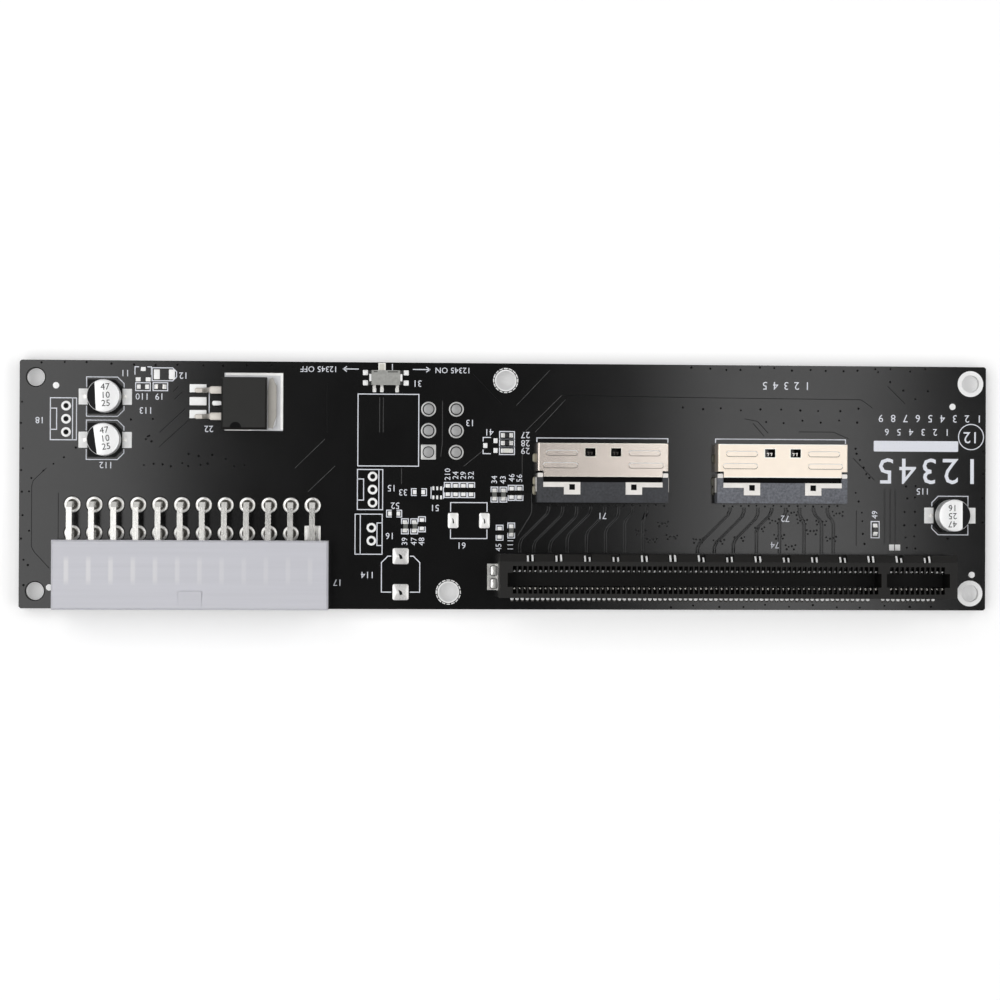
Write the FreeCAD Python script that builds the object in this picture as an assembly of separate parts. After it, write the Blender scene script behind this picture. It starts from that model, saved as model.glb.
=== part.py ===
import FreeCAD, Part
import os

V = FreeCAD.Vector

# Adapter card with a card-edge slot, two cable sockets and a power header, in millimetres.
# +X runs along the board, +Y to the edge with the slide switch, +Z out of the component side.
# The origin is the middle of the four corner holes, on the board's underside.

# Board
board_length = 188.6
board_width = 48.0
board_thickness = 1.6
board_corner_cut = 0.35
corner_hole_inset_x = 3.1
corner_hole_inset_y = 3.35
corner_hole_radius = 1.75
middle_hole_radius = 1.9
rear_hole_inset_x = 93.8
front_hole_inset_x = 82.8

# Power header
header_columns = 12
header_pitch = 4.2
header_first_column_inset = 10.2
header_end_margin = 3.15
header_depth = 13.3
header_floor = 1.35
header_wall = 0.7
header_roof = 0.85
header_cell_depth = 9.8
header_cell_chamfer = 0.9
header_edge_chamfer = 0.35
header_latch_width = 4.4
header_latch_length = 3.2
header_latch_height = 0.4
pin_size = 1.07
pin_clearance = 0.05
pin_recess = 1.8
pin_tail = 1.9
pin_bend = 0.75
pin_row_setback = 1.3
pin_row_spacing = 5.5

# Card-edge slot, seen in section: v runs across the slot, positive to +Y
slot_contact_pitch = 1.0
slot_long_contacts = 71
slot_short_contacts = 11
slot_key_spacing = 3.0
slot_key_wall = 1.05
slot_last_contact_inset = 10.4
slot_end_margin = 2.85
slot_end_overrun = 1.35
slot_setback = 6.0
slot_top_width = 7.0
slot_height = 11.25
slot_bevel_width = 1.4
slot_bevel_drop = 1.35
slot_mouth_width = 2.7
slot_mouth_floor = 2.85
slot_rear_wall = 0.6
slot_chamber_shoulder = 6.2
slot_comb_depth = 2.6
slot_comb_reach = 1.3
slot_notch_width = 0.7
slot_tail_gap = 0.45
slot_window_count = 15
slot_window_pitch = 5.5
slot_window_width = 1.7
slot_window_depth = 4.2
contact_width = 0.5
contact_thickness = 0.2
contact_tip_drop = 1.05
contact_tip_setback = 0.3
contact_riser_gap = 0.2
contact_tail_reach = 0.95
hold_down_reach = 2.0
hold_down_width = 5.1
hold_down_height = 3.0
hold_down_thickness = 0.3
hold_down_offset = 0.35

# Cable sockets
socket_inset_x = 41.0
socket_spacing = 35.07
socket_setback = 15.6
socket_width = 25.5
socket_height = 5.6
socket_shell_depth = 6.5
socket_depth = 11.5
shell_thickness = 0.25
shell_bend_radius = 0.35
shell_window_width = 2.0
shell_window_depth = 1.6
shell_window_offset = 2.5
shell_window_setback = 1.75
shell_notch_width = 1.2
shell_notch_depth = 1.15
shell_rib_height = 0.22
shell_rib_width = 1.2
shell_rib_slope = 0.25
shell_rib_inner_offset = 4.85
shell_front_rib_length = 6.4
shell_front_rib_setback = 1.9
shell_rear_rib_length = 7.0
shell_rear_rib_setback = 4.3
shell_leg_setback = 2.8
shell_leg_width = 1.2
leg_clearance = 0.2
leg_tail = 0.5
body_clearance = 0.1
body_drop = 0.4
body_groove_width = 1.05
body_groove_depth = 1.3
body_arm_width = 1.15
body_nose_recess = 3.0
card_slot_width = 22.6
card_slot_height = 1.7
card_slot_depth = 5.0
card_slot_level = 2.5
wafer_end_gap = 0.35
wafer_thickness = 0.25
clip_thickness = 0.2
clip_length = 7.2
clip_arm_width = 0.95
clip_pad_length = 3.2
clip_pad_width = 2.4
clip_hole_size = 1.1
lock_thickness = 0.25
lock_width = 2.8
lock_height = 3.2
lock_leg_width = 0.8

# Slide switch
switch_inset_x = 70.46
switch_inset_y = 3.02
switch_length = 5.6
switch_depth = 2.86
switch_height = 1.4
switch_sheet = 0.2
switch_end_reach = 0.5
switch_foot_reach = 0.75
switch_foot_width = 0.9
switch_floor = 0.3
switch_wall = 0.35
switch_clearance = 0.08
knob_width = 1.36
knob_travel = 1.5
knob_setback = 0.15
slider_length = 2.4
terminal_width = 0.6
terminal_thickness = 0.15
terminal_reach = 1.15
terminal_overlap = 0.6
terminal_offsets = (-2.25, -0.75, 2.25)

# Voltage regulator
regulator_inset_x = 43.2
regulator_inset_y = 8.25
regulator_length = 8.75
regulator_width = 10.05
regulator_height = 4.4
regulator_edge = 0.35
tab_thickness = 1.27
tab_reach = 1.6
tab_bury = 3.5
tab_chamfer = 0.8
lead_pitch = 2.54
lead_thickness = 0.5
lead_width = 0.8
lead_shoulder_width = 1.3
lead_shoulder_length = 2.4
lead_level = 2.6
lead_reach = 6.0
lead_foot = 2.4
stub_length = 1.8

# Electrolytic capacitors
can_radius = 3.15
can_height = 5.6
can_edge = 0.3
base_size = 6.6
base_thickness = 0.8
base_chamfer = 1.4
can_lead_thickness = 0.2
can_lead_width = 0.7
can_lead_reach = 0.9
can_lead_gap = 1.6
left_can_inset_x = 16.4
left_can_inset_y = 7.05
left_can_spacing = 8.35
right_can_inset_x = 7.1
right_can_setback = 18.7

# Chip parts: overall length, width, height and the length of each soldered end.
# The filter chips stand at a share of the way from the power header to the slot.
chip_length = 1.6
chip_width = 0.85
chip_height = 0.6
chip_end = 0.35
filter_chip_share = 0.4536
filter_chip_setback = 16.13
filter_chip_spacing = 1.8
socket_chip_inset_x = 96.9
socket_chip_inset_y = 25.6
socket_chip_spacing = 1.75
single_chip_inset_x = 93.6
single_chip_setback = 15.4
lamp_inset_x = 94.5
lamp_inset_y = 17.04
lamp_row_spacing = 1.5
bias_chip_inset_x = 26.95
bias_chip_inset_y = 5.04
strap_chip_inset_x = 21.95
strap_chip_setback = 15.86

# Lengths that cutters reach past the surface they cut
cut_margin = 1.0

# Places that follow from the sizes above
left_edge = -board_length / 2
right_edge = board_length / 2
front_edge = -board_width / 2
rear_edge = board_width / 2
board_top = board_thickness
header_first_column = left_edge + header_first_column_inset
header_left = header_first_column - header_end_margin
header_right = header_first_column + (header_columns - 1) * header_pitch + header_end_margin
header_rear = front_edge + header_depth
header_cell = header_pitch - header_wall
header_height = header_floor + header_cell + header_pitch + header_roof
header_lower_level = board_top + header_floor + header_cell / 2
header_upper_level = header_lower_level + header_pitch
pin_near_row = header_rear + pin_row_setback
pin_far_row = pin_near_row + pin_row_spacing
slot_y = front_edge + slot_setback
slot_last_contact = right_edge - slot_last_contact_inset
slot_short_first = slot_last_contact - (slot_short_contacts - 1) * slot_contact_pitch
slot_long_last = slot_short_first - slot_key_spacing
slot_first_contact = slot_long_last - (slot_long_contacts - 1) * slot_contact_pitch
slot_left = slot_first_contact - slot_end_margin
slot_right = slot_last_contact + slot_end_margin
slot_half_top = slot_top_width / 2
slot_half_mouth = slot_mouth_width / 2
slot_rear_face = slot_half_top + slot_bevel_width
slot_comb = slot_half_mouth + slot_comb_reach
slot_chamber_wall = slot_rear_face - slot_rear_wall
slot_rear_foot = slot_chamber_wall - contact_riser_gap - contact_thickness / 2
slot_front_riser = slot_comb - contact_riser_gap - contact_thickness / 2
socket_front = rear_edge - socket_setback
socket_rear = socket_front - socket_depth
socket_centres = (right_edge - socket_inset_x - socket_spacing, right_edge - socket_inset_x)
switch_x = left_edge + switch_inset_x
switch_y = rear_edge - switch_inset_y
regulator_x = left_edge + regulator_inset_x
regulator_y = rear_edge - regulator_inset_y


def block(x0, x1, y0, y1, z0, z1):
    """Box between two corners."""
    return Part.makeBox(x1 - x0, y1 - y0, z1 - z0, V(x0, y0, z0))


def slab(cx, cy, z0, dx, dy, dz):
    """Box centred on (cx, cy) that stands on z0."""
    return Part.makeBox(dx, dy, dz, V(cx - dx / 2, cy - dy / 2, z0))


def edges_along(shape, direction):
    """Straight edges of a shape that run along a direction."""
    return [e for e in shape.Edges if abs(e.tangentAt(e.FirstParameter).dot(direction)) > 0.99]


def extrude_x(outline, x0, width):
    """Solid from a (y, z) outline, grown along +X."""
    corners = [V(x0, y, z) for y, z in outline]
    return Part.Face(Part.makePolygon(corners + corners[:1])).extrude(V(width, 0, 0))


def extrude_y(outline, y0, depth):
    """Solid from an (x, z) outline, grown along +Y."""
    corners = [V(x, y0, z) for x, z in outline]
    return Part.Face(Part.makePolygon(corners + corners[:1])).extrude(V(0, depth, 0))


def extrude_z(outline, z0, height):
    """Solid from an (x, y) outline, grown along +Z."""
    corners = [V(x, y, z0) for x, y in outline]
    return Part.Face(Part.makePolygon(corners + corners[:1])).extrude(V(0, 0, height))


def strip(path, thickness):
    """Outline of a bent strip around a middle line, with mitred corners."""
    points = [V(a, b, 0) for a, b in path]
    runs = [(q - p).normalize() for p, q in zip(points, points[1:])]
    left = []
    right = []
    for i, point in enumerate(points):
        before = runs[max(i - 1, 0)]
        after = runs[min(i, len(runs) - 1)]
        mitre = V(-before.y - after.y, before.x + after.x, 0).normalize()
        reach = thickness / 2 / mitre.dot(V(-before.y, before.x, 0))
        left.append(point + mitre * reach)
        right.append(point - mitre * reach)
    return [(p.x, p.y) for p in left + right[::-1]]


def drill(x, y, radius):
    """Cutter for a round hole through the board."""
    return Part.makeCylinder(radius, board_thickness + 2 * cut_margin, V(x, y, -cut_margin))


def through_slot(x, y, dx, dy):
    """Cutter for a rectangular hole through the board."""
    return slab(x, y, -cut_margin, dx, dy, board_thickness + 2 * cut_margin)


def at_columns(shape, places):
    """Copies of a shape moved along X to each place."""
    return [shape.translated(V(x, 0, 0)) for x in places]


def header_columns_x():
    """X of each column of the power header."""
    return [header_first_column + i * header_pitch for i in range(header_columns)]


def slot_parts():
    """Contact places of the long and the short part of the slot."""
    long_part = [slot_first_contact + i * slot_contact_pitch for i in range(slot_long_contacts)]
    short_part = [slot_short_first + i * slot_contact_pitch for i in range(slot_short_contacts)]
    return long_part, short_part


def corner_holes():
    """Centres of the four corner holes."""
    x = board_length / 2 - corner_hole_inset_x
    y = board_width / 2 - corner_hole_inset_y
    return [(sx * x, sy * y) for sx in (-1, 1) for sy in (-1, 1)]


def middle_holes():
    """Centres of the two holes near the middle of the long edges."""
    y = board_width / 2 - corner_hole_inset_y
    return [(left_edge + rear_hole_inset_x, y), (left_edge + front_hole_inset_x, -y)]


def leg_slots():
    """Cutters for the legs of the cable sockets."""
    slots = []
    for centre in socket_centres:
        for side in (-1, 1):
            shell_x = centre + side * (socket_width - shell_thickness) / 2
            lock_x = centre + side * (socket_width + lock_thickness) / 2
            shell_y = socket_front - shell_leg_setback
            slots.append(through_slot(shell_x, shell_y, shell_thickness + leg_clearance,
                                      shell_leg_width + leg_clearance))
            for lock_y in lock_leg_places():
                slots.append(through_slot(lock_x, lock_y, lock_thickness + leg_clearance,
                                          lock_leg_width + leg_clearance))
    return slots


def circuit_board():
    """Bare board with every hole that goes through it."""
    blank = slab(0, 0, 0, board_length, board_width, board_thickness)
    blank = blank.makeChamfer(board_corner_cut, edges_along(blank, V(0, 0, 1)))
    cutters = [drill(x, y, corner_hole_radius) for x, y in corner_holes()]
    cutters += [drill(x, y, middle_hole_radius) for x, y in middle_holes()]
    pin_gap = pin_size + 2 * pin_clearance
    for row in (pin_near_row, pin_far_row):
        cutters += [through_slot(x, row, pin_gap, pin_gap) for x in header_columns_x()]
    return blank.cut(cutters + leg_slots())


def header_cell_cutter(keyed, flip):
    """Cutter for one cell of the power header, square or with two cut corners."""
    half = header_cell / 2
    cut = header_cell_chamfer if keyed else 0.0
    outline = [(-half, -half), (half, -half), (half, half - cut), (half - cut, half),
               (cut - half, half), (-half, half - cut)]
    if not keyed:
        outline = [(-half, -half), (half, -half), (half, half), (-half, half)]
    outline = [(x, flip * z) for x, z in outline]
    return extrude_y(outline, front_edge - cut_margin, header_cell_depth + cut_margin)


def power_header_housing():
    """Shroud with two rows of cells that open to the front edge, and a latch ramp on its roof."""
    columns = header_columns_x()
    roof = board_top + header_height
    shroud = block(header_left, header_right, front_edge, header_rear, board_top, roof)
    upper = [e for e in shroud.Edges if min(v.Z for v in e.Vertexes) > roof - header_roof / 2]
    shroud = shroud.makeChamfer(header_edge_chamfer, upper)
    cutters = []
    pin_gap = pin_size + 2 * pin_clearance
    for level, flip in ((header_lower_level, -1), (header_upper_level, 1)):
        for i, x in enumerate(columns):
            keyed = (i + (flip > 0)) % 2 == 0
            cutters.append(header_cell_cutter(keyed, flip).translated(V(x, 0, level)))
            cutters.append(slab(x, (front_edge + header_rear) / 2, level - pin_gap / 2, pin_gap,
                                header_depth + 2 * cut_margin, pin_gap))
    ramp_start = front_edge + header_edge_chamfer
    ramp = [(ramp_start, roof), (ramp_start + header_latch_length, roof),
            (ramp_start + header_latch_length, roof + header_latch_height)]
    middle = (header_left + header_right) / 2
    latch = extrude_x(ramp, middle - header_latch_width / 2, header_latch_width)
    return shroud.cut(cutters).fuse(latch).removeSplitter()


def header_pin(level, row):
    """Square pin that runs back out of the housing and turns down through the board."""
    tip = front_edge + pin_recess
    path = [(tip, level), (row - pin_bend, level), (row, level - pin_bend), (row, -pin_tail)]
    return extrude_x(strip(path, pin_size), -pin_size / 2, pin_size)


def slot_section():
    """Outer (v, z) outline of the slot: upright at the front, bevelled along the rear."""
    return [(-slot_half_top, 0), (-slot_half_top, slot_height), (slot_half_top, slot_height),
            (slot_rear_face, slot_height - slot_bevel_drop), (slot_rear_face, 0)]


def in_slot(outline):
    """Slot section points moved to their place over the board."""
    return [(slot_y + v, board_top + z) for v, z in outline]


def slot_cutters(contacts, start, end):
    """Mouth, contact chambers, tail gaps and comb notches of one part of the slot."""
    top = slot_height + cut_margin
    below = -cut_margin
    chamber_top = slot_height - slot_comb_depth
    outside = slot_rear_face + cut_margin
    x0 = contacts[0] - slot_contact_pitch / 2
    span = contacts[-1] - contacts[0] + slot_contact_pitch
    mouth = [(-slot_half_mouth, slot_mouth_floor), (slot_half_mouth, slot_mouth_floor),
             (slot_half_mouth, top), (-slot_half_mouth, top)]
    rear_chamber = [(slot_half_mouth, below), (slot_chamber_wall, below),
                    (slot_chamber_wall, slot_chamber_shoulder),
                    (slot_comb, chamber_top), (slot_half_mouth, chamber_top)]
    front_chamber = [(-slot_half_mouth, below), (-slot_half_mouth, chamber_top),
                     (-slot_comb, chamber_top), (-slot_comb, below)]
    tail_gap = [(-outside, below), (outside, below), (outside, slot_tail_gap), (-outside, slot_tail_gap)]
    notch = [(-slot_comb, chamber_top), (slot_comb, chamber_top), (slot_comb, top), (-slot_comb, top)]
    cutters = [extrude_x(in_slot(mouth), start, end - start)]
    cutters += [extrude_x(in_slot(line), x0, span) for line in (rear_chamber, front_chamber, tail_gap)]
    notch_cutter = extrude_x(in_slot(notch), -slot_notch_width / 2, slot_notch_width)
    return cutters + at_columns(notch_cutter, contacts)


def slot_windows():
    """Cutters for the windows along the rear bevel, through which the contacts show."""
    middle = (slot_first_contact + slot_last_contact) / 2
    first = middle - (slot_window_count - 1) / 2 * slot_window_pitch
    top = slot_height + cut_margin
    sill = slot_height - slot_window_depth
    outside = slot_rear_face + cut_margin
    outline = [(slot_half_top, sill), (outside, sill), (outside, top), (slot_half_top, top)]
    window = extrude_x(in_slot(outline), -slot_window_width / 2, slot_window_width)
    return at_columns(window, [first + i * slot_window_pitch for i in range(slot_window_count)])


def slot_housing():
    """Moulded slot body with its two contact combs and the key wall between the parts."""
    body = extrude_x(in_slot(slot_section()), slot_left, slot_right - slot_left)
    long_part, short_part = slot_parts()
    key = (long_part[-1] + short_part[0]) / 2
    cutters = slot_cutters(long_part, long_part[0] - slot_end_overrun, key - slot_key_wall / 2)
    cutters += slot_cutters(short_part, key + slot_key_wall / 2, short_part[-1] + slot_end_overrun)
    return body.cut(cutters + slot_windows()).removeSplitter()


def slot_contacts(outline):
    """One contact outline repeated at every contact place."""
    contact = extrude_x(in_slot(outline), -contact_width / 2, contact_width)
    long_part, short_part = slot_parts()
    return at_columns(contact, long_part + short_part)


def slot_rear_contacts():
    """Contacts of the rear row: straight springs that lean from the rear wall to the mouth's edge."""
    half = contact_thickness / 2
    tip = slot_half_mouth + contact_tip_setback
    top = slot_height - contact_tip_drop
    return slot_contacts([(slot_rear_foot - half, 0), (slot_rear_foot + half, 0), (tip + half, top),
                          (tip - half, top)])


def slot_front_contacts():
    """Contacts of the front row, with soldered feet that show past the front wall."""
    foot = contact_thickness / 2
    tip = (-slot_half_mouth - contact_tip_setback, slot_height - contact_tip_drop)
    path = [(-slot_half_top - contact_tail_reach, foot), (-slot_front_riser, foot), tip]
    return slot_contacts(strip(path, contact_thickness))


def slot_hold_down():
    """Bent metal tab that solders the slot's left end to the board."""
    foot = board_top + hold_down_thickness / 2
    face = slot_left - hold_down_thickness / 2
    path = [(slot_left - hold_down_reach, foot), (face, foot), (face, board_top + hold_down_height)]
    start = slot_y + hold_down_offset - hold_down_width / 2
    return extrude_y(strip(path, hold_down_thickness), start, hold_down_width)


def shell_rib(length, setback, side):
    """Pressed rib on the socket shell with sloping sides."""
    inner = side * shell_rib_inner_offset
    outer = side * (shell_rib_inner_offset + length)
    x0 = min(inner, outer)
    y0 = socket_front - setback - shell_rib_width / 2
    z0 = board_top + socket_height
    return Part.makeWedge(x0, y0, z0, z0, x0 + shell_rib_slope, x0 + length, y0 + shell_rib_width,
                          z0 + shell_rib_height, z0 + shell_rib_height, x0 + length - shell_rib_slope)


def socket_shell():
    """Folded metal cover of a cable socket, open at the front, with windows, ribs and two legs."""
    half = socket_width / 2
    inner = half - shell_thickness
    roof = board_top + socket_height
    lining = roof - shell_thickness
    outline = [(-half, board_top), (-half, roof), (half, roof), (half, board_top),
               (inner, board_top), (inner, lining), (-inner, lining), (-inner, board_top)]
    rear = socket_front - socket_shell_depth
    shell = extrude_y(outline, rear, socket_shell_depth)
    bends = [e for e in edges_along(shell, V(0, 1, 0)) if e.CenterOfMass.z > roof - shell_thickness / 2]
    shell = shell.makeFillet(shell_bend_radius, bends)
    cutters = []
    for side in (-1, 1):
        window_y = socket_front - shell_window_setback
        cutters.append(slab(side * shell_window_offset, window_y, lining - cut_margin, shell_window_width,
                            shell_window_depth, shell_thickness + 2 * cut_margin))
        notch_x = side * (half - shell_notch_width / 2)
        cutters.append(slab(notch_x, rear + shell_notch_depth / 2, board_top, shell_notch_width,
                            shell_notch_depth, socket_height + cut_margin))
    extras = []
    for side in (-1, 1):
        leg_x = side * (half - shell_thickness / 2)
        extras.append(slab(leg_x, socket_front - shell_leg_setback, -leg_tail, shell_thickness,
                           shell_leg_width, board_top + leg_tail))
        extras.append(shell_rib(shell_front_rib_length, shell_front_rib_setback, side))
        extras.append(shell_rib(shell_rear_rib_length, shell_rear_rib_setback, side))
    return shell.cut(cutters).fuse(extras).removeSplitter()


def socket_body():
    """Moulded insulator of a cable socket: nose inside the shell, groove, and a full-width rear block."""
    half = socket_width / 2
    shell_rear = socket_front - socket_shell_depth
    roof = board_top + socket_height - body_drop
    rear_block = block(-half, half, socket_rear, shell_rear - body_clearance, board_top, roof)
    groove = block(body_arm_width - half, half - body_arm_width, shell_rear - body_groove_width,
                   shell_rear + cut_margin, roof - body_groove_depth, roof + cut_margin)
    inner = half - shell_thickness - body_clearance
    nose_roof = board_top + socket_height - shell_thickness - body_clearance
    nose_front = socket_front - body_nose_recess
    nose = block(shell_notch_width - half, half - shell_notch_width, shell_rear - body_clearance,
                 nose_front, board_top, roof - body_groove_depth)
    cap_rear = shell_rear + shell_notch_depth + body_clearance
    cap = block(-inner, inner, cap_rear, nose_front, board_top, nose_roof)
    card_slot = slab(0, nose_front - card_slot_depth / 2 + cut_margin / 2,
                     board_top + card_slot_level - card_slot_height / 2,
                     card_slot_width, card_slot_depth + cut_margin, card_slot_height)
    return rear_block.cut(groove).fuse([nose, cap]).cut(card_slot).removeSplitter()


def socket_wafers():
    """Two contact wafers, on the floor and against the ceiling of the card slot."""
    y = socket_front - body_nose_recess - card_slot_depth / 2
    floor = board_top + card_slot_level - card_slot_height / 2
    ceiling = floor + card_slot_height - wafer_thickness
    width = card_slot_width - 2 * wafer_end_gap
    return [slab(0, y, level, width, card_slot_depth, wafer_thickness) for level in (floor, ceiling)]


def socket_clips():
    """Pair of L-shaped metal clips on the rear block."""
    roof = board_top + socket_height - body_drop
    front = socket_front - socket_shell_depth - body_groove_width
    outer = socket_width / 2 - body_arm_width
    inner = outer - clip_length
    arm = front - clip_arm_width
    pad = front - clip_pad_width
    clips = []
    for side in (-1, 1):
        outline = [(side * outer, front), (side * inner, front), (side * inner, pad),
                   (side * (inner + clip_pad_length), pad), (side * (inner + clip_pad_length), arm),
                   (side * outer, arm)]
        hole = slab(side * (inner + clip_pad_length / 2), front - clip_arm_width, roof - cut_margin,
                    clip_hole_size, clip_hole_size, clip_thickness + 2 * cut_margin)
        clips.append(extrude_z(outline, roof, clip_thickness).cut(hole))
    return clips


def lock_middle():
    """Y of the middle of the board locks, in the rear block's forward half."""
    return socket_front - socket_shell_depth - lock_width / 2 - body_clearance


def lock_leg_places():
    """Y of the two legs of each board lock."""
    reach = (lock_width - lock_leg_width) / 2
    return [lock_middle() - reach, lock_middle() + reach]


def socket_locks():
    """Pair of side plates whose legs hold the rear block to the board."""
    locks = []
    for side in (-1, 1):
        x = side * (socket_width + lock_thickness) / 2
        plate = slab(x, lock_middle(), board_top, lock_thickness, lock_width, lock_height)
        leg = slab(x, 0, -leg_tail, lock_thickness, lock_leg_width, board_top + leg_tail)
        legs = [leg.translated(V(0, y, 0)) for y in lock_leg_places()]
        locks.append(plate.fuse(legs).removeSplitter())
    return locks


def switch_cavity_height():
    """Room between the floor of the switch base and its cover."""
    return switch_height - switch_sheet - switch_floor


def switch_base():
    """Moulded tray with an open front for the knob."""
    tray = slab(switch_x, switch_y, board_top + terminal_thickness, switch_length - 2 * switch_sheet,
                switch_depth - 2 * switch_clearance, switch_height - switch_sheet - terminal_thickness)
    floor = board_top + switch_floor
    cavity = slab(switch_x, switch_y, floor, switch_length - 2 * switch_sheet - 2 * switch_wall,
                  switch_depth - 2 * switch_clearance - 2 * switch_wall, switch_height)
    gate = knob_width + knob_travel + 2 * switch_clearance
    opening = slab(switch_x, switch_y + switch_depth / 2, floor, gate, switch_depth, switch_height)
    return tray.cut([cavity, opening])


def switch_cover():
    """Folded metal cover with four feet."""
    half = switch_length / 2 + switch_end_reach
    roof = board_top + switch_height
    sheet = switch_sheet / 2
    path = [(switch_x - half, board_top + sheet), (switch_x - switch_length / 2 + sheet, roof - sheet),
            (switch_x + switch_length / 2 - sheet, roof - sheet), (switch_x + half, board_top + sheet)]
    cover = extrude_y(strip(path, switch_sheet), switch_y - switch_depth / 2, switch_depth)
    feet = []
    for side in (-1, 1):
        for end in (-1, 1):
            foot_x = switch_x + side * (half + switch_foot_reach / 2)
            foot_y = switch_y + end * (switch_depth - switch_foot_width) / 2
            feet.append(slab(foot_x, foot_y, board_top, switch_foot_reach, switch_foot_width, switch_sheet))
    return cover.fuse(feet).removeSplitter()


def switch_knob():
    """Slider with its knob at the left end of the travel."""
    x = switch_x - knob_travel / 2
    floor = board_top + switch_floor + switch_clearance
    height = switch_cavity_height() - 2 * switch_clearance
    depth = switch_depth - 2 * switch_wall - 4 * switch_clearance
    slider = slab(x, switch_y, floor, slider_length, depth, height)
    tip = rear_edge - knob_setback
    knob = block(x - knob_width / 2, x + knob_width / 2, switch_y, tip, floor, floor + height)
    return slider.fuse(knob).removeSplitter()


def switch_terminals():
    """Three flat terminals under the switch base."""
    front = switch_y - switch_depth / 2
    top = board_top + terminal_thickness
    half = terminal_width / 2
    terminal = block(switch_x - half, switch_x + half, front - terminal_reach, front + terminal_overlap,
                     board_top, top)
    return at_columns(terminal, terminal_offsets)


def regulator_tab():
    """Metal plate under the regulator with two cut corners."""
    edge = regulator_x + regulator_length / 2
    x0 = edge - tab_bury
    x1 = edge + tab_reach
    half = regulator_width / 2
    y0 = regulator_y - half
    y1 = regulator_y + half
    outline = [(x0, y0), (x1 - tab_chamfer, y0), (x1, y0 + tab_chamfer), (x1, y1 - tab_chamfer),
               (x1 - tab_chamfer, y1), (x0, y1)]
    return extrude_z(outline, board_top, tab_thickness)


def regulator_body():
    """Moulded regulator case with bevelled upper edges, cut out around its tab."""
    case = slab(regulator_x, regulator_y, board_top, regulator_length, regulator_width, regulator_height)
    roof = board_top + regulator_height
    upper = [e for e in case.Edges if min(v.Z for v in e.Vertexes) > roof - regulator_edge]
    return case.makeChamfer(regulator_edge, upper).cut(regulator_tab())


def regulator_leads():
    """Two soldered leads with wide shoulders, and the cropped middle lead."""
    face = regulator_x - regulator_length / 2
    level = board_top + lead_level
    foot = board_top + lead_thickness / 2
    knee = face - lead_shoulder_length
    path = [(face, level), (knee, level), (face - lead_reach + lead_foot, foot), (face - lead_reach, foot)]
    leads = []
    for side in (-1, 1):
        y = regulator_y + side * lead_pitch
        lead = extrude_y(strip(path, lead_thickness), y - lead_width / 2, lead_width)
        shoulder = block(knee, face, y - lead_shoulder_width / 2, y + lead_shoulder_width / 2,
                         level - lead_thickness / 2, level + lead_thickness / 2)
        leads.append(lead.fuse(shoulder).removeSplitter())
    leads.append(block(face - stub_length, face, regulator_y - lead_width / 2, regulator_y + lead_width / 2,
                       level - lead_thickness / 2, level + lead_thickness / 2))
    return leads


def can_places():
    """Centre and chamfer side of each electrolytic capacitor."""
    left_x = left_edge + left_can_inset_x
    left_y = rear_edge - left_can_inset_y
    right_place = (right_edge - right_can_inset_x, front_edge + right_can_setback, -1)
    return [(left_x, left_y, 1), (left_x, left_y - left_can_spacing, 1), right_place]


def can_base(x, y, side):
    """Moulded foot plate with two cut corners."""
    half = base_size / 2
    outline = [(x - side * half, y - half), (x + side * (half - base_chamfer), y - half),
               (x + side * half, y - half + base_chamfer), (x + side * half, y + half - base_chamfer),
               (x + side * (half - base_chamfer), y + half), (x - side * half, y + half)]
    return extrude_z(outline, board_top + can_lead_thickness, base_thickness)


def can_sleeve(x, y):
    """Drawn can with a rounded top edge."""
    foot = board_top + can_lead_thickness + base_thickness
    top = board_top + can_height
    outline = [(0, foot), (can_radius, foot), (can_radius, top - can_edge),
               (can_radius - can_edge, top), (0, top)]
    corners = [V(x + r, y, z) for r, z in outline]
    face = Part.Face(Part.makePolygon(corners + corners[:1]))
    return face.revolve(V(x, y, 0), V(0, 0, 1), 360)


def can_leads(x, y):
    """Two flat leads that run out from under the foot plate."""
    reach = base_size / 2 + can_lead_reach
    half = can_lead_width / 2
    start = can_lead_gap / 2
    top = board_top + can_lead_thickness
    return [block(x + start, x + reach, y - half, y + half, board_top, top),
            block(x - reach, x - start, y - half, y + half, board_top, top)]


def capacitor_chip_places():
    """Centre and turn of each chip capacitor; a turned chip lies along Y."""
    filter_x = header_right + filter_chip_share * (slot_left - header_right)
    filter_y = front_edge + filter_chip_setback
    socket_x = right_edge - socket_chip_inset_x
    socket_y = rear_edge - socket_chip_inset_y
    single = (right_edge - single_chip_inset_x, front_edge + single_chip_setback, True)
    return [(filter_x, filter_y, True), (filter_x + filter_chip_spacing, filter_y, True),
            (socket_x, socket_y, True), (socket_x + socket_chip_spacing, socket_y, True), single]


def resistor_chip_places():
    """Centre and turn of each chip resistor."""
    lamp_x, lamp_y, turned = lamp_places()[0]
    return [(lamp_x, lamp_y + lamp_row_spacing, turned), (lamp_x, lamp_y + 2 * lamp_row_spacing, turned),
            (left_edge + bias_chip_inset_x, rear_edge - bias_chip_inset_y, False),
            (right_edge - strap_chip_inset_x, front_edge + strap_chip_setback, True)]


def lamp_places():
    """Centre and turn of the status lamp."""
    return [(right_edge - lamp_inset_x, rear_edge - lamp_inset_y, False)]


def chip_box(x, y, turned, along, length):
    """Box of one piece of a chip, offset along the chip."""
    if turned:
        return slab(x, y + along, board_top, chip_width, length, chip_height)
    return slab(x + along, y, board_top, length, chip_width, chip_height)


def chip_bodies(places):
    """Middle blocks of a set of chips."""
    return [chip_box(x, y, turned, 0, chip_length - 2 * chip_end) for x, y, turned in places]


def chip_ends(places):
    """Soldered end caps of a set of chips."""
    along = (chip_length - chip_end) / 2
    return [chip_box(x, y, turned, side * along, chip_end) for x, y, turned in places for side in (-1, 1)]


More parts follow.
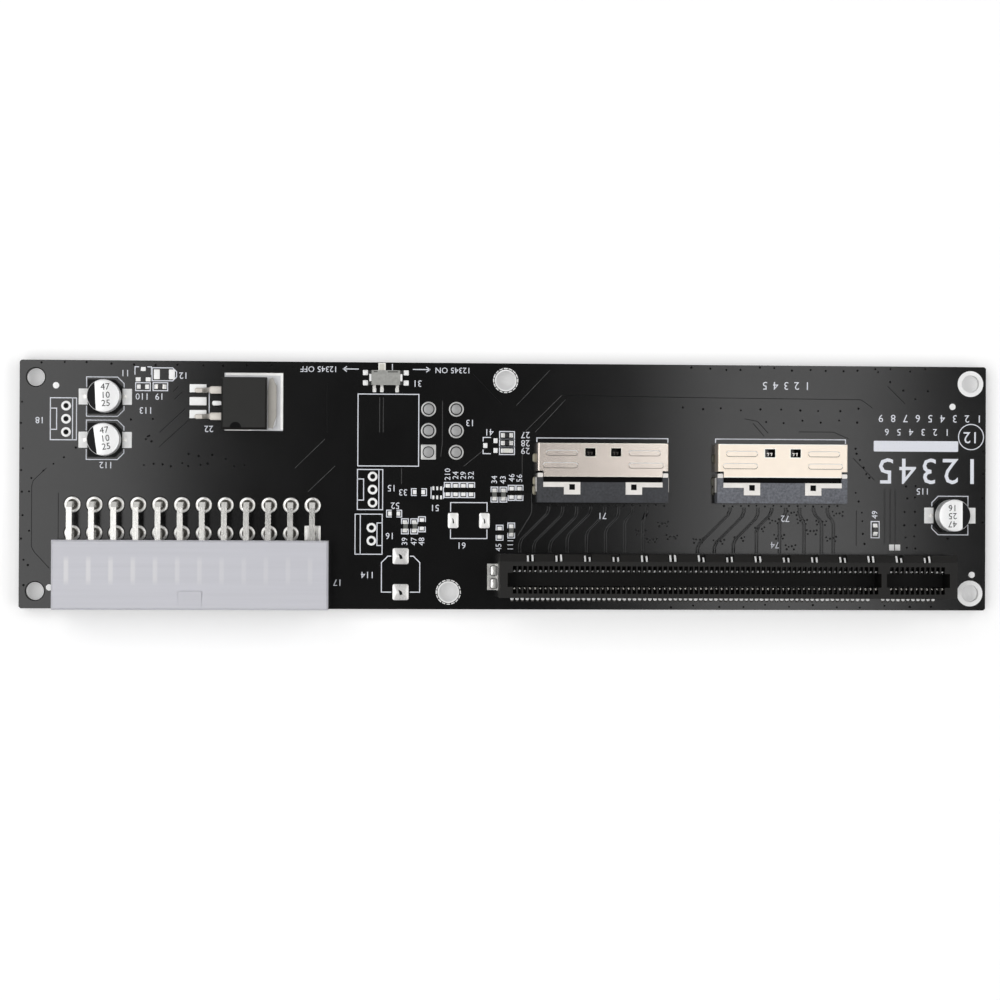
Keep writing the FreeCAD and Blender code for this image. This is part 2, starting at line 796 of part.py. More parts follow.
def export(name, shapes):
    """Write one node, as a single solid or a group of separate solids."""
    shape = shapes[0] if len(shapes) == 1 else Part.makeCompound(shapes)
    shape.exportStep(os.path.join("parts", name + ".step"))


def main():
    """Build every piece and write it."""
    os.makedirs("parts", exist_ok=True)
    export("circuit_board", [circuit_board()])
    export("power_header_housing", [power_header_housing()])
    columns = header_columns_x()
    export("power_header_upper_pins", at_columns(header_pin(header_upper_level, pin_far_row), columns))
    export("power_header_lower_pins", at_columns(header_pin(header_lower_level, pin_near_row), columns))
    export("slot_housing", [slot_housing()])
    export("slot_rear_contacts", slot_rear_contacts())
    export("slot_front_contacts", slot_front_contacts())
    export("slot_hold_down", [slot_hold_down()])
    for number, centre in enumerate(socket_centres, 1):
        prefix = f"cable_socket_{number}_"
        pieces = {"shell": [socket_shell()], "body": [socket_body()], "contact_wafers": socket_wafers(),
                  "clips": socket_clips(), "board_locks": socket_locks()}
        for name, solids in pieces.items():
            export(prefix + name, at_columns(Part.makeCompound(solids), [centre]))
    export("switch_base", [switch_base()])
    export("switch_cover", [switch_cover()])
    export("switch_knob", [switch_knob()])
    export("switch_terminals", switch_terminals())
    export("regulator_body", [regulator_body()])
    export("regulator_tab", [regulator_tab()])
    export("regulator_leads", regulator_leads())
    for number, (x, y, side) in enumerate(can_places(), 1):
        export(f"capacitor_{number}_base", [can_base(x, y, side)])
        export(f"capacitor_{number}_can", [can_sleeve(x, y)])
        export(f"capacitor_{number}_leads", can_leads(x, y))
    chips = capacitor_chip_places() + resistor_chip_places() + lamp_places()
    export("chip_capacitors", chip_bodies(capacitor_chip_places()))
    export("chip_resistors", chip_bodies(resistor_chip_places()))
    export("status_lamp", chip_bodies(lamp_places()))
    export("chip_end_caps", chip_ends(chips))


main()
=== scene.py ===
import logging
import math
from dataclasses import dataclass, replace
from enum import Enum
from typing import Iterable, Sequence, Union

import bmesh
import bpy
from mathutils import Matrix, Vector


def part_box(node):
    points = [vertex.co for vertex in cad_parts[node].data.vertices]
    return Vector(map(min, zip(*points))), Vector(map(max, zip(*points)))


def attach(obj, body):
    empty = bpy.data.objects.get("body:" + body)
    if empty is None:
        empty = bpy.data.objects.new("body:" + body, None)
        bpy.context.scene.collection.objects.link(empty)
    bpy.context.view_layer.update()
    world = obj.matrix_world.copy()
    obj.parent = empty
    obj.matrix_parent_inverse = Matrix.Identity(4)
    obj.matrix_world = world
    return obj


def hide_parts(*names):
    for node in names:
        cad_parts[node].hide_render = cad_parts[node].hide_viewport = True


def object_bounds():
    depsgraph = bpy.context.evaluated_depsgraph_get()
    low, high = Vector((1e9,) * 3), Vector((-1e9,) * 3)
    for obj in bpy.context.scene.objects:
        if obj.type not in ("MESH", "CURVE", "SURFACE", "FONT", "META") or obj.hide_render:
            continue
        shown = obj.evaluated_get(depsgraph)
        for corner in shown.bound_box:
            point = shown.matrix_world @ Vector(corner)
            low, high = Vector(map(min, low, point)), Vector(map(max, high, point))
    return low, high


# Looks of the adapter card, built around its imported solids.
# Sizes are in millimetres in the solids' own frame: +X along the board, +Y to the switch edge, +Z up.

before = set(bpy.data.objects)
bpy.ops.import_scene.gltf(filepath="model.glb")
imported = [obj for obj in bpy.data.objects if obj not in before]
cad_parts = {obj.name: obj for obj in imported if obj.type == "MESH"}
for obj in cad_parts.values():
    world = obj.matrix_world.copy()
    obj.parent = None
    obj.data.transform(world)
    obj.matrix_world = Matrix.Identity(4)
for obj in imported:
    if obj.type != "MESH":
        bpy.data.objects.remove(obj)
CAD_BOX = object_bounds()
MM = 0.001
CARD = "card"
KNOB = "knob"
LOG = logging.getLogger("adapter_card")

Triple = tuple[float, float, float]
Colour = Triple
Point = tuple[float, float]
Line = list[Point]
Row = tuple[Point, Point, int]
Label = tuple[str, float, float]
Place = tuple[float, float, float, float]
Value = Union["Sock", float, str, Sequence[float]]


def box_of(node: str) -> tuple[Vector, Vector]:
    """Lowest and highest corner of a node, in millimetres."""
    low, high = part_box(node)
    return Vector(low) / MM, Vector(high) / MM


def middle_of(node: str) -> Point:
    """Middle of a node on the board."""
    low, high = box_of(node)
    return ((low.x + high.x) / 2, (low.y + high.y) / 2)


BOARD_CORNER = box_of("circuit_board")[1]
BOARD_TOP = BOARD_CORNER.z
ORIGIN: Point = (0.0, 0.0)

# Height of print, and depth of lacquer and of the thin dark marks of painted shade.
INK = 0.03
SKIN = 0.012


def tint(colour: Colour, amount: float) -> Colour:
    """Colour made lighter or darker by a factor."""
    return tuple(min(c * amount, 1.0) for c in colour)


class Sock:
    """Socket of a node that takes part in Python arithmetic."""

    def __init__(self, graph: "NodeTree", socket: bpy.types.NodeSocket) -> None:
        """Keep the socket and the tree that it belongs to."""
        self.graph = graph
        self.socket = socket

    def maths(self, operation: str, first: Value, second: Value = 0.0) -> "Sock":
        """Result of one Math node."""
        return self.graph.node("ShaderNodeMath", {"operation": operation}, {0: first, 1: second})

    def __add__(self, other: Value) -> "Sock":
        """Sum of two values."""
        return self.maths("ADD", self, other)

    def __sub__(self, other: Value) -> "Sock":
        """Difference of two values."""
        return self.maths("SUBTRACT", self, other)

    def __rsub__(self, other: Value) -> "Sock":
        """Difference with a number on the left."""
        return self.maths("SUBTRACT", other, self)

    def __mul__(self, other: Value) -> "Sock":
        """Product of two values."""
        return self.maths("MULTIPLY", self, other)

    # A sum or a product is the same with the number on the left.
    __radd__ = __add__
    __rmul__ = __mul__

    def __gt__(self, other: Value) -> "Sock":
        """One where this value is the greater, else zero."""
        return self.maths("GREATER_THAN", self, other)

    def __lt__(self, other: Value) -> "Sock":
        """One where this value is the smaller, else zero."""
        return self.maths("LESS_THAN", self, other)

    def sine(self) -> "Sock":
        """Sine of the value."""
        return self.maths("SINE", self)

    def clamped(self) -> "Sock":
        """The value held between zero and one."""
        return self.graph.node("ShaderNodeClamp", None, {0: self})

    def swing(self, amount: float) -> "Sock":
        """A noise as a variation around zero."""
        return (self - 0.5) * amount


class NodeTree:
    """Tree of shader or geometry nodes."""

    tree: bpy.types.NodeTree

    def node(self, kind: str, settings: dict | None = None, inputs: dict | None = None,
             output: int | str = 0) -> Sock:
        """Add one node.

        Args:
            kind: The node's type.
            settings: Properties that are set first.
            inputs: Values or links, by socket name or number.
            output: Name or number of the output that is wanted.

        Returns:
            That output.
        """
        made = self.tree.nodes.new(kind)
        for key, value in (settings or {}).items():
            setattr(made, key, value)
        for key, value in (inputs or {}).items():
            self.feed(made.inputs[key], value)
        return Sock(self, made.outputs[output])

    def feed(self, socket: bpy.types.NodeSocket, value: Value) -> None:
        """Link a socket or set its own value.

        Args:
            socket: Input of a node.
            value: Another node's result, a number, a name, a vector or a colour.
        """
        if isinstance(value, Sock):
            self.tree.links.new(value.socket, socket)
        elif socket.type == "RGBA":
            socket.default_value = (*value[:3], 1.0)
        else:
            socket.default_value = value


class Graph(NodeTree):
    """Node tree of a material or of the world, with its main shader."""

    def __init__(self, owner: bpy.types.ID, shader: str = "BSDF_PRINCIPLED") -> None:
        """Turn on the owner's nodes and find its shader.

        Args:
            owner: The material or the world.
            shader: Type of its main shader.
        """
        owner.use_nodes = True
        self.tree = owner.node_tree
        self.shader = next(n for n in self.tree.nodes if n.type == shader)

    def coords(self, stretch: Sequence[float]) -> Sock:
        """Object coordinates, stretched along each axis."""
        place = self.node("ShaderNodeTexCoord", output=3)
        return self.node("ShaderNodeVectorMath", {"operation": "MULTIPLY"}, {0: place, 1: stretch})

    def axis(self, number: int) -> Sock:
        """One object coordinate, in millimetres."""
        place = self.node("ShaderNodeTexCoord", output=3)
        return self.node("ShaderNodeSeparateXYZ", None, {0: place}, number) * (1 / MM)

    def noise(self, grain: float, detail: float = 2.0, stretch: Sequence[float] = (1.0, 1.0, 1.0)) -> Sock:
        """Noise whose features are about grain millimetres across."""
        sockets = {"Vector": self.coords(stretch), "Scale": 1 / (grain * MM), "Detail": detail}
        return self.node("ShaderNodeTexNoise", None, sockets)

    def blend(self, factor: Value, first: Value, second: Value) -> Sock:
        """Mix of two colours."""
        return self.node("ShaderNodeMix", {"data_type": "RGBA"}, {0: factor, 6: first, 7: second}, 2)

    def mottled(self, factor: Value, colour: Colour, dark: float, light: float) -> Sock:
        """Colour that wanders between a darker and a lighter tint of itself."""
        return self.blend(factor, tint(colour, dark), tint(colour, light))

    def bump(self, height: Value, depth: float, strength: float) -> Sock:
        """Normal from a height, depth millimetres deep."""
        sockets = {"Height": height, "Distance": depth * MM, "Strength": strength}
        return self.node("ShaderNodeBump", None, sockets)

    def seen(self) -> Sock:
        """One for rays of the camera, of reflections and of glass, else zero."""
        camera, glossy, glass = (self.node("ShaderNodeLightPath", output=i) for i in (0, 3, 6))
        return (camera + glossy + glass).clamped()

    def shade(self, **sockets: Value) -> None:
        """Feed the main shader, with spaces written as underscores."""
        for key, value in sockets.items():
            self.feed(self.shader.inputs[key.replace("_", " ")], value)


class Brush(Enum):
    """Way in which a metal was drawn or brushed, as a stretch of its grain."""

    NONE = (1.0, 1.0, 1.0)
    ALONG_X = (0.03, 1.0, 1.0)
    ALONG_Y = (1.0, 0.03, 1.0)


@dataclass(frozen=True)
class Finish:
    """Look of one surface."""

    name: str
    colour: Colour
    roughness: float

    def material(self) -> bpy.types.Material:
        """The finish as a material, made once.

        Returns:
            The material.
        """
        made = bpy.data.materials.get(self.name)
        if made is None:
            made = bpy.data.materials.new(self.name)
            self.draw(Graph(made))
        return made

    def draw(self, graph: Graph) -> None:
        """Build the nodes of the finish; each kind of finish has its own."""
        raise NotImplementedError


@dataclass(frozen=True)
class SolderMask(Finish):
    """Lacquer over woven glass, with the bare laminate showing at cut edges."""

    laminate: Colour = (0.045, 0.04, 0.03)
    weave: float = 0.62
    skin: float = 0.06
    cloud: float = 9.0
    speck: float = 0.35

    def draw(self, graph: Graph) -> None:
        """Cloudy lacquer, a faint weave and laminate on the cut edges.

        Args:
            graph: Node tree that is filled.
        """
        cloud = graph.noise(self.cloud, 3.0)
        speck = graph.noise(self.speck)
        turn = 2 * math.pi / self.weave
        weave = (graph.axis(0) * turn).sine() * (graph.axis(1) * turn).sine()
        lacquer = graph.mottled(cloud, self.colour, 0.8, 1.25)
        height = graph.axis(2)
        cut = (height > self.skin) * (height < BOARD_TOP - self.skin)
        fibre = graph.mottled(graph.noise(0.12, stretch=(0.2, 0.2, 1.0)), self.laminate, 0.6, 1.5)
        rough = self.roughness + cloud.swing(0.04) + speck.swing(0.03)
        graph.shade(Base_Color=graph.blend(cut, lacquer, fibre), Roughness=rough + cut * 0.35,
                    Normal=graph.bump(weave * 0.5 + speck * 0.6, 0.006, 0.15))


@dataclass(frozen=True)
class Plastic(Finish):
    """Moulded plastic or resin with a fine grain."""

    grain: float = 0.22
    depth: float = 0.012
    mottle: float = 0.12
    coat: float = 0.0
    gloss: float = 0.5
    speckle: float = 0.4
    patch: float = 5.0

    def draw(self, graph: Graph) -> None:
        """Grain in the relief, slow mottling and fine specks in the colour.

        Args:
            graph: Node tree that is filled.
        """
        fine = graph.noise(self.grain, 3.0)
        broad = graph.noise(self.patch)
        mixed = (broad.swing(0.6) + fine.swing(self.speckle) + 0.5).clamped()
        colour = graph.mottled(mixed, self.colour, 1 - self.mottle, 1 + self.mottle)
        graph.shade(Base_Color=colour, Roughness=self.roughness + fine.swing(0.16),
                    Normal=graph.bump(fine, self.depth, 0.5), Coat_Weight=self.coat,
                    Specular_IOR_Level=self.gloss)


@dataclass(frozen=True)
class Nylon(Finish):
    """Pale nylon with painted light: soft bright streaks over the pins behind its roof, which fade to the
    right.
    """

    pitch: float = 4.2
    first: float = -84.4
    streak_rows: Point = (-19.4, -13.6)
    streak: Colour = (0.78, 0.77, 0.78)
    roof: float = 9.0
    flow: float = 0.7
    grain: float = 0.3

    def draw(self, graph: Graph) -> None:
        """Painted light streaks over each pin, faint flow lines and a satin skin.

        Args:
            graph: Node tree that is filled.
        """
        x, y, z = (graph.axis(i) for i in range(3))
        # Painted light: soft bright streaks over the pins, on the roof only, weaker to the right.
        wave = ((x - self.first) * (2 * math.pi / self.pitch) + math.pi / 2).sine()
        soft = (wave * 4.0 - 2.7).clamped()
        low, high = self.streak_rows
        fade = ((y - low) * 0.8).clamped() * ((high - y) * 0.8).clamped() * (z > BOARD_TOP + self.roof)
        strength = 0.7 - ((x - self.first) * 0.03).clamped() * 0.45
        flow = graph.noise(self.flow, stretch=(0.02, 1.0, 1.0))
        fine = graph.noise(self.grain)
        base = graph.mottled(flow, self.colour, 0.94, 1.05)
        seen = graph.blend(soft * fade * strength, base, self.streak)
        graph.shade(Base_Color=seen, Roughness=self.roughness + fine.swing(0.12),
                    Normal=graph.bump(fine + flow * 0.5, 0.01, 0.3), Subsurface_Weight=0.15,
                    Subsurface_Radius=(0.001, 0.001, 0.0012), Subsurface_Scale=0.6)


@dataclass(frozen=True)
class Metal(Finish):
    """Plated or drawn metal with brushing, cloudy tarnish and small dents; below a fold it is painted
    near-black, as shade.
    """

    brush: Brush = Brush.NONE
    tarnish: float = 0.82
    lumps: float = 0.012
    metallic: float = 1.0
    vary: float = 0.18
    patch: float = 2.2
    fold: float = 0.0
    grain: float = 0.09

    def draw(self, graph: Graph) -> None:
        """Brushed grain in roughness and relief, tarnish in the colour.

        Args:
            graph: Node tree that is filled.
        """
        grain = graph.noise(self.grain, 3.0, self.brush.value)
        cloud = graph.noise(self.patch, 3.0)
        colour = graph.mottled(cloud, self.colour, self.tarnish, 1.06)
        # Painted shade: near-black below the height of the fold.
        if self.fold:
            colour = graph.blend(graph.axis(2) < self.fold, colour, tint(self.colour, 0.04))
        rough = self.roughness + grain.swing(self.vary) + cloud.swing(self.vary * 0.5)
        graph.shade(Base_Color=colour, Roughness=rough.clamped(), Metallic=self.metallic,
                    Normal=graph.bump(grain * 0.4 + cloud, self.lumps, 0.5))


@dataclass(frozen=True)
class Ink(Finish):
    """Printed ink, thin in places."""

    under: Colour = (0.3, 0.31, 0.33)
    gloss: float = 0.5
    wear: float = 0.28
    grain: float = 0.1

    def draw(self, graph: Graph) -> None:
        """Ink with worn specks and a slightly raised skin.

        Args:
            graph: Node tree that is filled.
        """
        worn = (graph.noise(self.wear, 3.0) * 3.2 - 1.9).clamped()
        fine = graph.noise(self.grain)
        graph.shade(Base_Color=graph.blend(worn * 0.5, self.colour, self.under),
                    Roughness=self.roughness + fine.swing(0.1), Normal=graph.bump(fine, 0.004, 0.4),
                    Specular_IOR_Level=self.gloss)


# Finishes of the board, of its metals and of its mouldings.
MASK = SolderMask("solder_mask_black", (0.003, 0.003, 0.0031), 0.13)
MASK_COPPER = Plastic("mask_over_copper", (0.0045, 0.0045, 0.0048), 0.19, mottle=0.3, depth=0.003)
MASK_GAP = Plastic("mask_over_gap", (0.0022, 0.0022, 0.0024), 0.45, mottle=0.2, depth=0.004, gloss=0.2)
# Lighter lines as painted highlights on copper edges.
LIT_EDGE = Plastic("lit_copper_edge", (0.055, 0.055, 0.055), 0.5, grain=0.7, mottle=0.9, speckle=1.6)
# Near-black for the dimples over vias, and as painted shade in dents, folds, holes and grooves.
DIMPLE = Plastic("tented_dimple", (0.0016, 0.0016, 0.0017), 0.6, depth=0.01, gloss=0.1)
SOFT_DIMPLE = Plastic("shallow_dimple", (0.003, 0.003, 0.0032), 0.5, depth=0.01, gloss=0.25)
WHITE_INK = Ink("white_print", (0.78, 0.80, 0.86), 0.55)
BLACK_INK = Ink("black_print", (0.010, 0.010, 0.011), 0.5, (0.02, 0.02, 0.02), 0.1)
TIN = Metal("bright_tin", (0.84, 0.83, 0.80), 0.3, metallic=0.9)
PIN_TIN = Metal("pin_tin", (0.74, 0.73, 0.70), 0.2, Brush.ALONG_Y, metallic=0.75, patch=1.0)
PALE_TIN = Metal("pale_tin", (0.95, 0.95, 0.94), 0.5, metallic=0.2)
RING_TIN = Metal("ring_tin", (0.56, 0.56, 0.55), 0.4, metallic=0.5, patch=0.8)
PAD_TIN = Metal("pad_tin", (0.66, 0.665, 0.68), 0.45, Brush.ALONG_Y, metallic=0.3)
BRIGHT_SOLDER = Metal("bright_solder", (0.95, 0.94, 0.92), 0.32, lumps=0.03, metallic=0.5)
WORN_SOLDER = Metal("worn_solder", (0.66, 0.65, 0.64), 0.3, lumps=0.05, metallic=0.7, patch=1.2)
AGED_SOLDER = Metal("aged_solder", (0.36, 0.36, 0.36), 0.45, tarnish=0.8, lumps=0.03, metallic=0.5,
                    patch=0.7)
SOLDER = Metal("dull_solder", (0.11, 0.104, 0.092), 0.4, tarnish=0.6, lumps=0.03, metallic=0.7, patch=0.6)
FLUX_SOLDER = Metal("flux_solder", (0.27, 0.25, 0.19), 0.4, tarnish=0.5, lumps=0.04, metallic=0.6)
DARK_FLUX = Metal("dark_flux", (0.045, 0.043, 0.03), 0.4, tarnish=0.4, lumps=0.04, metallic=0.5)
LEAD_TIN = Metal("lead_tin", (0.52, 0.49, 0.45), 0.4, Brush.ALONG_X, metallic=0.6)
TAB_TIN = Metal("tab_tin", (0.44, 0.42, 0.385), 0.42, Brush.ALONG_Y, metallic=0.5)
CONTACT = Metal("contact_plate", (0.70, 0.67, 0.62), 0.3, Brush.ALONG_X)
# Near-black contact springs as painted shade; also used on the first cable socket's latch prongs.
SHADED_CONTACT = Metal("contact_spring", (0.05, 0.045, 0.04), 0.5, Brush.ALONG_Y, metallic=0.6)
NYLON = Nylon("pale_nylon", (0.60, 0.60, 0.645), 0.42)
SLOT_PLASTIC = Plastic("slot_moulding", (0.0095, 0.0088, 0.008), 0.5, grain=0.3, gloss=0.25)
WARM_SHELL = Metal("warm_shell", (0.82, 0.735, 0.665), 0.2, Brush.ALONG_X, 0.98, 0.003, 0.78, 0.05)
CREAM_SHELL = Metal("cream_shell", (0.95, 0.84, 0.72), 0.3, Brush.ALONG_X, 0.98, 0.003, 0.7, 0.05)
RIB_SHADE = Metal("rib_shade", (0.30, 0.28, 0.25), 0.45, Brush.ALONG_X)
SHEET = Metal("plated_sheet", (0.83, 0.80, 0.765), 0.36, Brush.ALONG_X)
# The switch sheet is painted near-black below 2.95 mm, as shade on its lower sides.
SWITCH_SHEET = Metal("switch_sheet", (0.40, 0.40, 0.38), 0.45, Brush.NONE, 0.55, 0.02, 0.4, patch=0.6,
                     fold=2.95)
SLATE = Plastic("slate_moulding", (0.030, 0.032, 0.038), 0.6, grain=0.45, depth=0.03, mottle=0.6,
                speckle=1.6)
LIGHT_SLATE = replace(SLATE, name="light_slate_moulding", colour=(0.12, 0.126, 0.145))
EPOXY = Plastic("case_epoxy", (0.010, 0.0097, 0.0085), 0.42, grain=0.16, depth=0.015, mottle=0.25,
                gloss=0.3)
DARK_EPOXY = Plastic("foot_epoxy", (0.004, 0.004, 0.004), 0.5, grain=0.2, gloss=0.15)
CREAM = Plastic("cream_moulding", (0.64, 0.625, 0.56), 0.45)
# Paler copy of the knob's cream, as painted highlight on its border.
CREAM_HIGHLIGHT = Plastic("pale_cream_moulding", (0.88, 0.87, 0.82), 0.45)
ALUMINIUM = Metal("drawn_can", (0.92, 0.92, 0.92), 0.35, Brush.ALONG_X, 0.97, 0.004, 0.25)
CERAMIC = Plastic("ceramic_body", (0.10, 0.105, 0.098), 0.45, grain=0.12)
GLAZE = Plastic("glazed_body", (0.012, 0.012, 0.013), 0.25, coat=0.3)
LAMP = Plastic("lamp_lens", (0.74, 0.74, 0.68), 0.2, coat=0.5)

# Finish of each solid, by its whole name or else by the end of its name.
NODE_FINISHES: dict[str, Finish] = {
    "circuit_board": MASK, "power_header_housing": NYLON, "slot_housing": SLOT_PLASTIC,
    "slot_hold_down": TIN, "cable_socket_1_shell": WARM_SHELL, "cable_socket_2_shell": CREAM_SHELL,
    "cable_socket_2_body": LIGHT_SLATE, "switch_base": EPOXY, "switch_cover": SWITCH_SHEET,
    "switch_knob": CREAM, "switch_terminals": TIN, "regulator_body": EPOXY, "regulator_tab": PAD_TIN,
    "regulator_leads": LEAD_TIN, "chip_capacitors": CERAMIC, "chip_resistors": GLAZE,
    "status_lamp": LAMP, "chip_end_caps": TIN,
}
ENDING_FINISHES: dict[str, Finish] = {
    # Contacts take the near-black finish of painted shade.
    "_pins": PIN_TIN, "_contacts": SHADED_CONTACT, "_body": SLATE, "_contact_wafers": SLATE,
    "_clips": SHEET, "_board_locks": SHEET, "_base": DARK_EPOXY, "_can": ALUMINIUM, "_leads": TIN,
}


def arc(centre: Point, radius: float, start: float, turn: float, steps: int) -> Line:
    """Points along an arc that covers a turn from its start angle, one more than its segments."""
    angles = [start + turn * i / steps for i in range(steps + 1)]
    return [(centre[0] + radius * math.cos(a), centre[1] + radius * math.sin(a)) for a in angles]


def rounded(centre: Point, size: Point, radius: float, steps: int = 4) -> Line:
    """Outline of a rectangle with rounded corners.

    Args:
        centre: Middle of the rectangle.
        size: Its width and depth.
        radius: Corner radius.
        steps: Segments in each corner.

    Returns:
        Corner points, anticlockwise.
    """
    points: Line = []
    quarter = math.pi / 2
    for number, (sx, sy) in enumerate(((1, 1), (-1, 1), (-1, -1), (1, -1))):
        corner = (centre[0] + sx * (size[0] / 2 - radius), centre[1] + sy * (size[1] / 2 - radius))
        points += arc(corner, radius, number * quarter, quarter, steps)
    return points


def new_object(name: str, data: bpy.types.ID) -> bpy.types.Object:
    """Object at the origin of the scene.

    Args:
        name: Name of the object.
        data: Its mesh, curve, lamp or camera.

    Returns:
        The object.
    """
    made = bpy.data.objects.new(name, data)
    bpy.context.scene.collection.objects.link(made)
    return made


def plain_mesh(holder: bpy.types.Object) -> bpy.types.Mesh:
    """Mesh that an object's curve or modifiers make."""
    bpy.context.view_layer.update()
    return bpy.data.meshes.new_from_object(holder.evaluated_get(bpy.context.evaluated_depsgraph_get()))


# Angle past which an edge stays sharp, and the least share of a mitre.
SHARP_ANGLE = math.radians(38)
MITRE_LIMIT = 0.3


class Shape:
    """Mesh under construction, in millimetres."""

    def __init__(self) -> None:
        """Start empty."""
        self.points: list[Triple] = []
        self.faces: list[list[int]] = []

    def loops(self, loops: list[list[Triple]]) -> "Shape":
        """Skin a stack of loops, closed by a face at each end.

        Args:
            loops: Loops of equal length, from one end to the other.

        Returns:
            The shape itself.
        """
        start = len(self.points)
        count = len(loops[0])
        for loop in loops:
            self.points += loop
        for level in range(len(loops) - 1):
            low = start + level * count
            for i in range(count):
                j = (i + 1) % count
                self.faces.append([low + i, low + j, low + count + j, low + count + i])
        self.faces.append(list(range(start, start + count))[::-1])
        last = start + (len(loops) - 1) * count
        self.faces.append(list(range(last, last + count)))
        return self

    def prism(self, outline: Sequence[Point], low: float, high: float) -> "Shape":
        """Upright solid over an outline."""
        return self.loops([[(x, y, z) for x, y in outline] for z in (low, high)])

    def box(self, low: Sequence[float], high: Sequence[float]) -> "Shape":
        """Box between two corners."""
        corners = [(low[0], low[1]), (high[0], low[1]), (high[0], high[1]), (low[0], high[1])]
        return self.prism(corners, low[2], high[2])

    def pillow(self, centre: Point, size: Point, low: float, height: float, corner: float,
               crown: float = 0.0, steps: int = 4) -> "Shape":
        """Soldered pad: a low block with rounded shoulders and a crowned top.

        Args:
            centre: Middle of the pad.
            size: Its width and depth.
            low: Height of its foot.
            height: Height of its shoulders.
            corner: Radius of its corners.
            crown: Further rise in its middle.
            steps: Segments in each corner.

        Returns:
            The shape itself.
        """
        loops = []
        for shrink, rise in ((1.0, 0.0), (1.0, 0.55), (0.9, 1.0), (0.55, 1.0), (0.2, 1.0)):
            top = low + height * rise + crown * (1 - shrink) * (rise >= 1.0)
            outline = rounded(centre, (size[0] * shrink, size[1] * shrink), corner * shrink, steps)
            loops.append([(x, y, top) for x, y in outline])
        return self.loops(loops)

    def gable(self, centre: Point, size: Point, low: float, shoulder: float, height: float) -> "Shape":
        """Heap of solder that rises from a rounded pad to a short ridge.

        Args:
            centre: Middle of the pad.
            size: Its width and depth.
            low: Height of its foot.
            shoulder: Height of its shoulders.
            height: Height of its ridge.

        Returns:
            The shape itself.
        """
        loops = []
        stages = ((1.0, 1.0, 0.0), (1.0, 1.0, shoulder), (0.9, 0.9, shoulder + 0.05), (0.5, 0.12, height))
        for wide, deep, rise in stages:
            outline = rounded(centre, (size[0] * wide, size[1] * deep), 0.12 * size[1] * min(wide, deep))
            loops.append([(x, y, low + rise) for x, y in outline])
        return self.loops(loops)

    def lathe(self, centre: Point, profile: Sequence[Point], steps: int = 32) -> "Shape":
        """Solid of revolution about an upright axis.

        Args:
            centre: Place of the axis.
            profile: Closed (radius, height) outline; points on the axis are merged.
            steps: Segments around.

        Returns:
            The shape itself.
        """
        start = len(self.points)
        count = len(profile)
        for step in range(steps):
            angle = 2 * math.pi * step / steps
            x, y = math.cos(angle), math.sin(angle)
            self.points += [(centre[0] + r * x, centre[1] + r * y, z) for r, z in profile]
            here = start + step * count
            there = start + (step + 1) % steps * count
            for i in range(count):
                j = (i + 1) % count
                if profile[i][0] > 0 or profile[j][0] > 0:
                    self.faces.append([here + i, there + i, there + j, here + j])
        return self

    def stroke(self, line: Sequence[Point], width: float, low: float, high: float) -> "Shape":
        """Drawn line with mitred corners; it closes if it ends where it starts.

        Args:
            line: Points of its middle.
            width: Width of the line.
            low: Height of its foot.
            high: Height of its top.

        Returns:
            The shape itself.
        """
        points = [Vector(p) for i, p in enumerate(line) if i == 0 or p != line[i - 1]]
        closed = (points[0] - points[-1]).length < 1e-6
        if closed:
            points = points[:-1]
        count = len(points)
        sides: list[tuple[Vector, Vector]] = []
        for i, point in enumerate(points):
            before = point - points[i - 1] if closed or i > 0 else points[1] - point
            after = points[(i + 1) % count] - point if closed or i < count - 1 else before
            first = Vector((-before.y, before.x)).normalized()
            second = Vector((-after.y, after.x)).normalized()
            mitre = (first + second).normalized()
            reach = width / 2 / max(mitre.dot(first), MITRE_LIMIT)
            sides.append((point + mitre * reach, point - mitre * reach))
        runs = range(count if closed else count - 1)
        for i in runs:
            (a, b), (c, d) = sides[i], sides[(i + 1) % count]
            self.prism([tuple(b), tuple(d), tuple(c), tuple(a)], low, high)
        return self

    def strap(self, y: float, stations: Sequence[Triple], thickness: float) -> "Shape":
        """Bent strap that runs along X, with a width of its own at each station.

        Args:
            y: Middle of the strap.
            stations: (x, z, width) along its middle line.
            thickness: Thickness of the strap.

        Returns:
            The shape itself.
        """
        loops = []
        for i, (x, z, width) in enumerate(stations):
            before, after = stations[max(i - 1, 0)], stations[min(i + 1, len(stations) - 1)]
            run = Vector((after[0] - before[0], after[1] - before[1])).normalized()
            section = rounded((0, 0), (width, thickness), thickness * 0.3, 2)
            loops.append([(x - run.y * v, y + u, z + run.x * v) for u, v in section])
        return self.loops(loops)

    def write(self, text: str, size: float, height: float, place: Matrix) -> None:
        """Add a number or short word, centred on its place.

        Args:
            text: What is written.
            size: Size of the letters.
            height: Thickness of the print.
            place: Place of its foot.
        """
        curve = bpy.data.curves.new("lettering", "FONT")
        curve.body = text
        curve.size = size
        curve.align_x = curve.align_y = "CENTER"
        curve.resolution_u = 2
        curve.extrude = height / 2
        holder = new_object("lettering", curve)
        letters = plain_mesh(holder)
        letters.transform(Matrix.Translation((0, 0, height / 2)))
        start = len(self.points)
        self.points += [tuple(place @ v.co) for v in letters.vertices]
        self.faces += [[start + i for i in p.vertices] for p in letters.polygons]
        bpy.data.objects.remove(holder)
        bpy.data.curves.remove(curve)
        bpy.data.meshes.remove(letters)

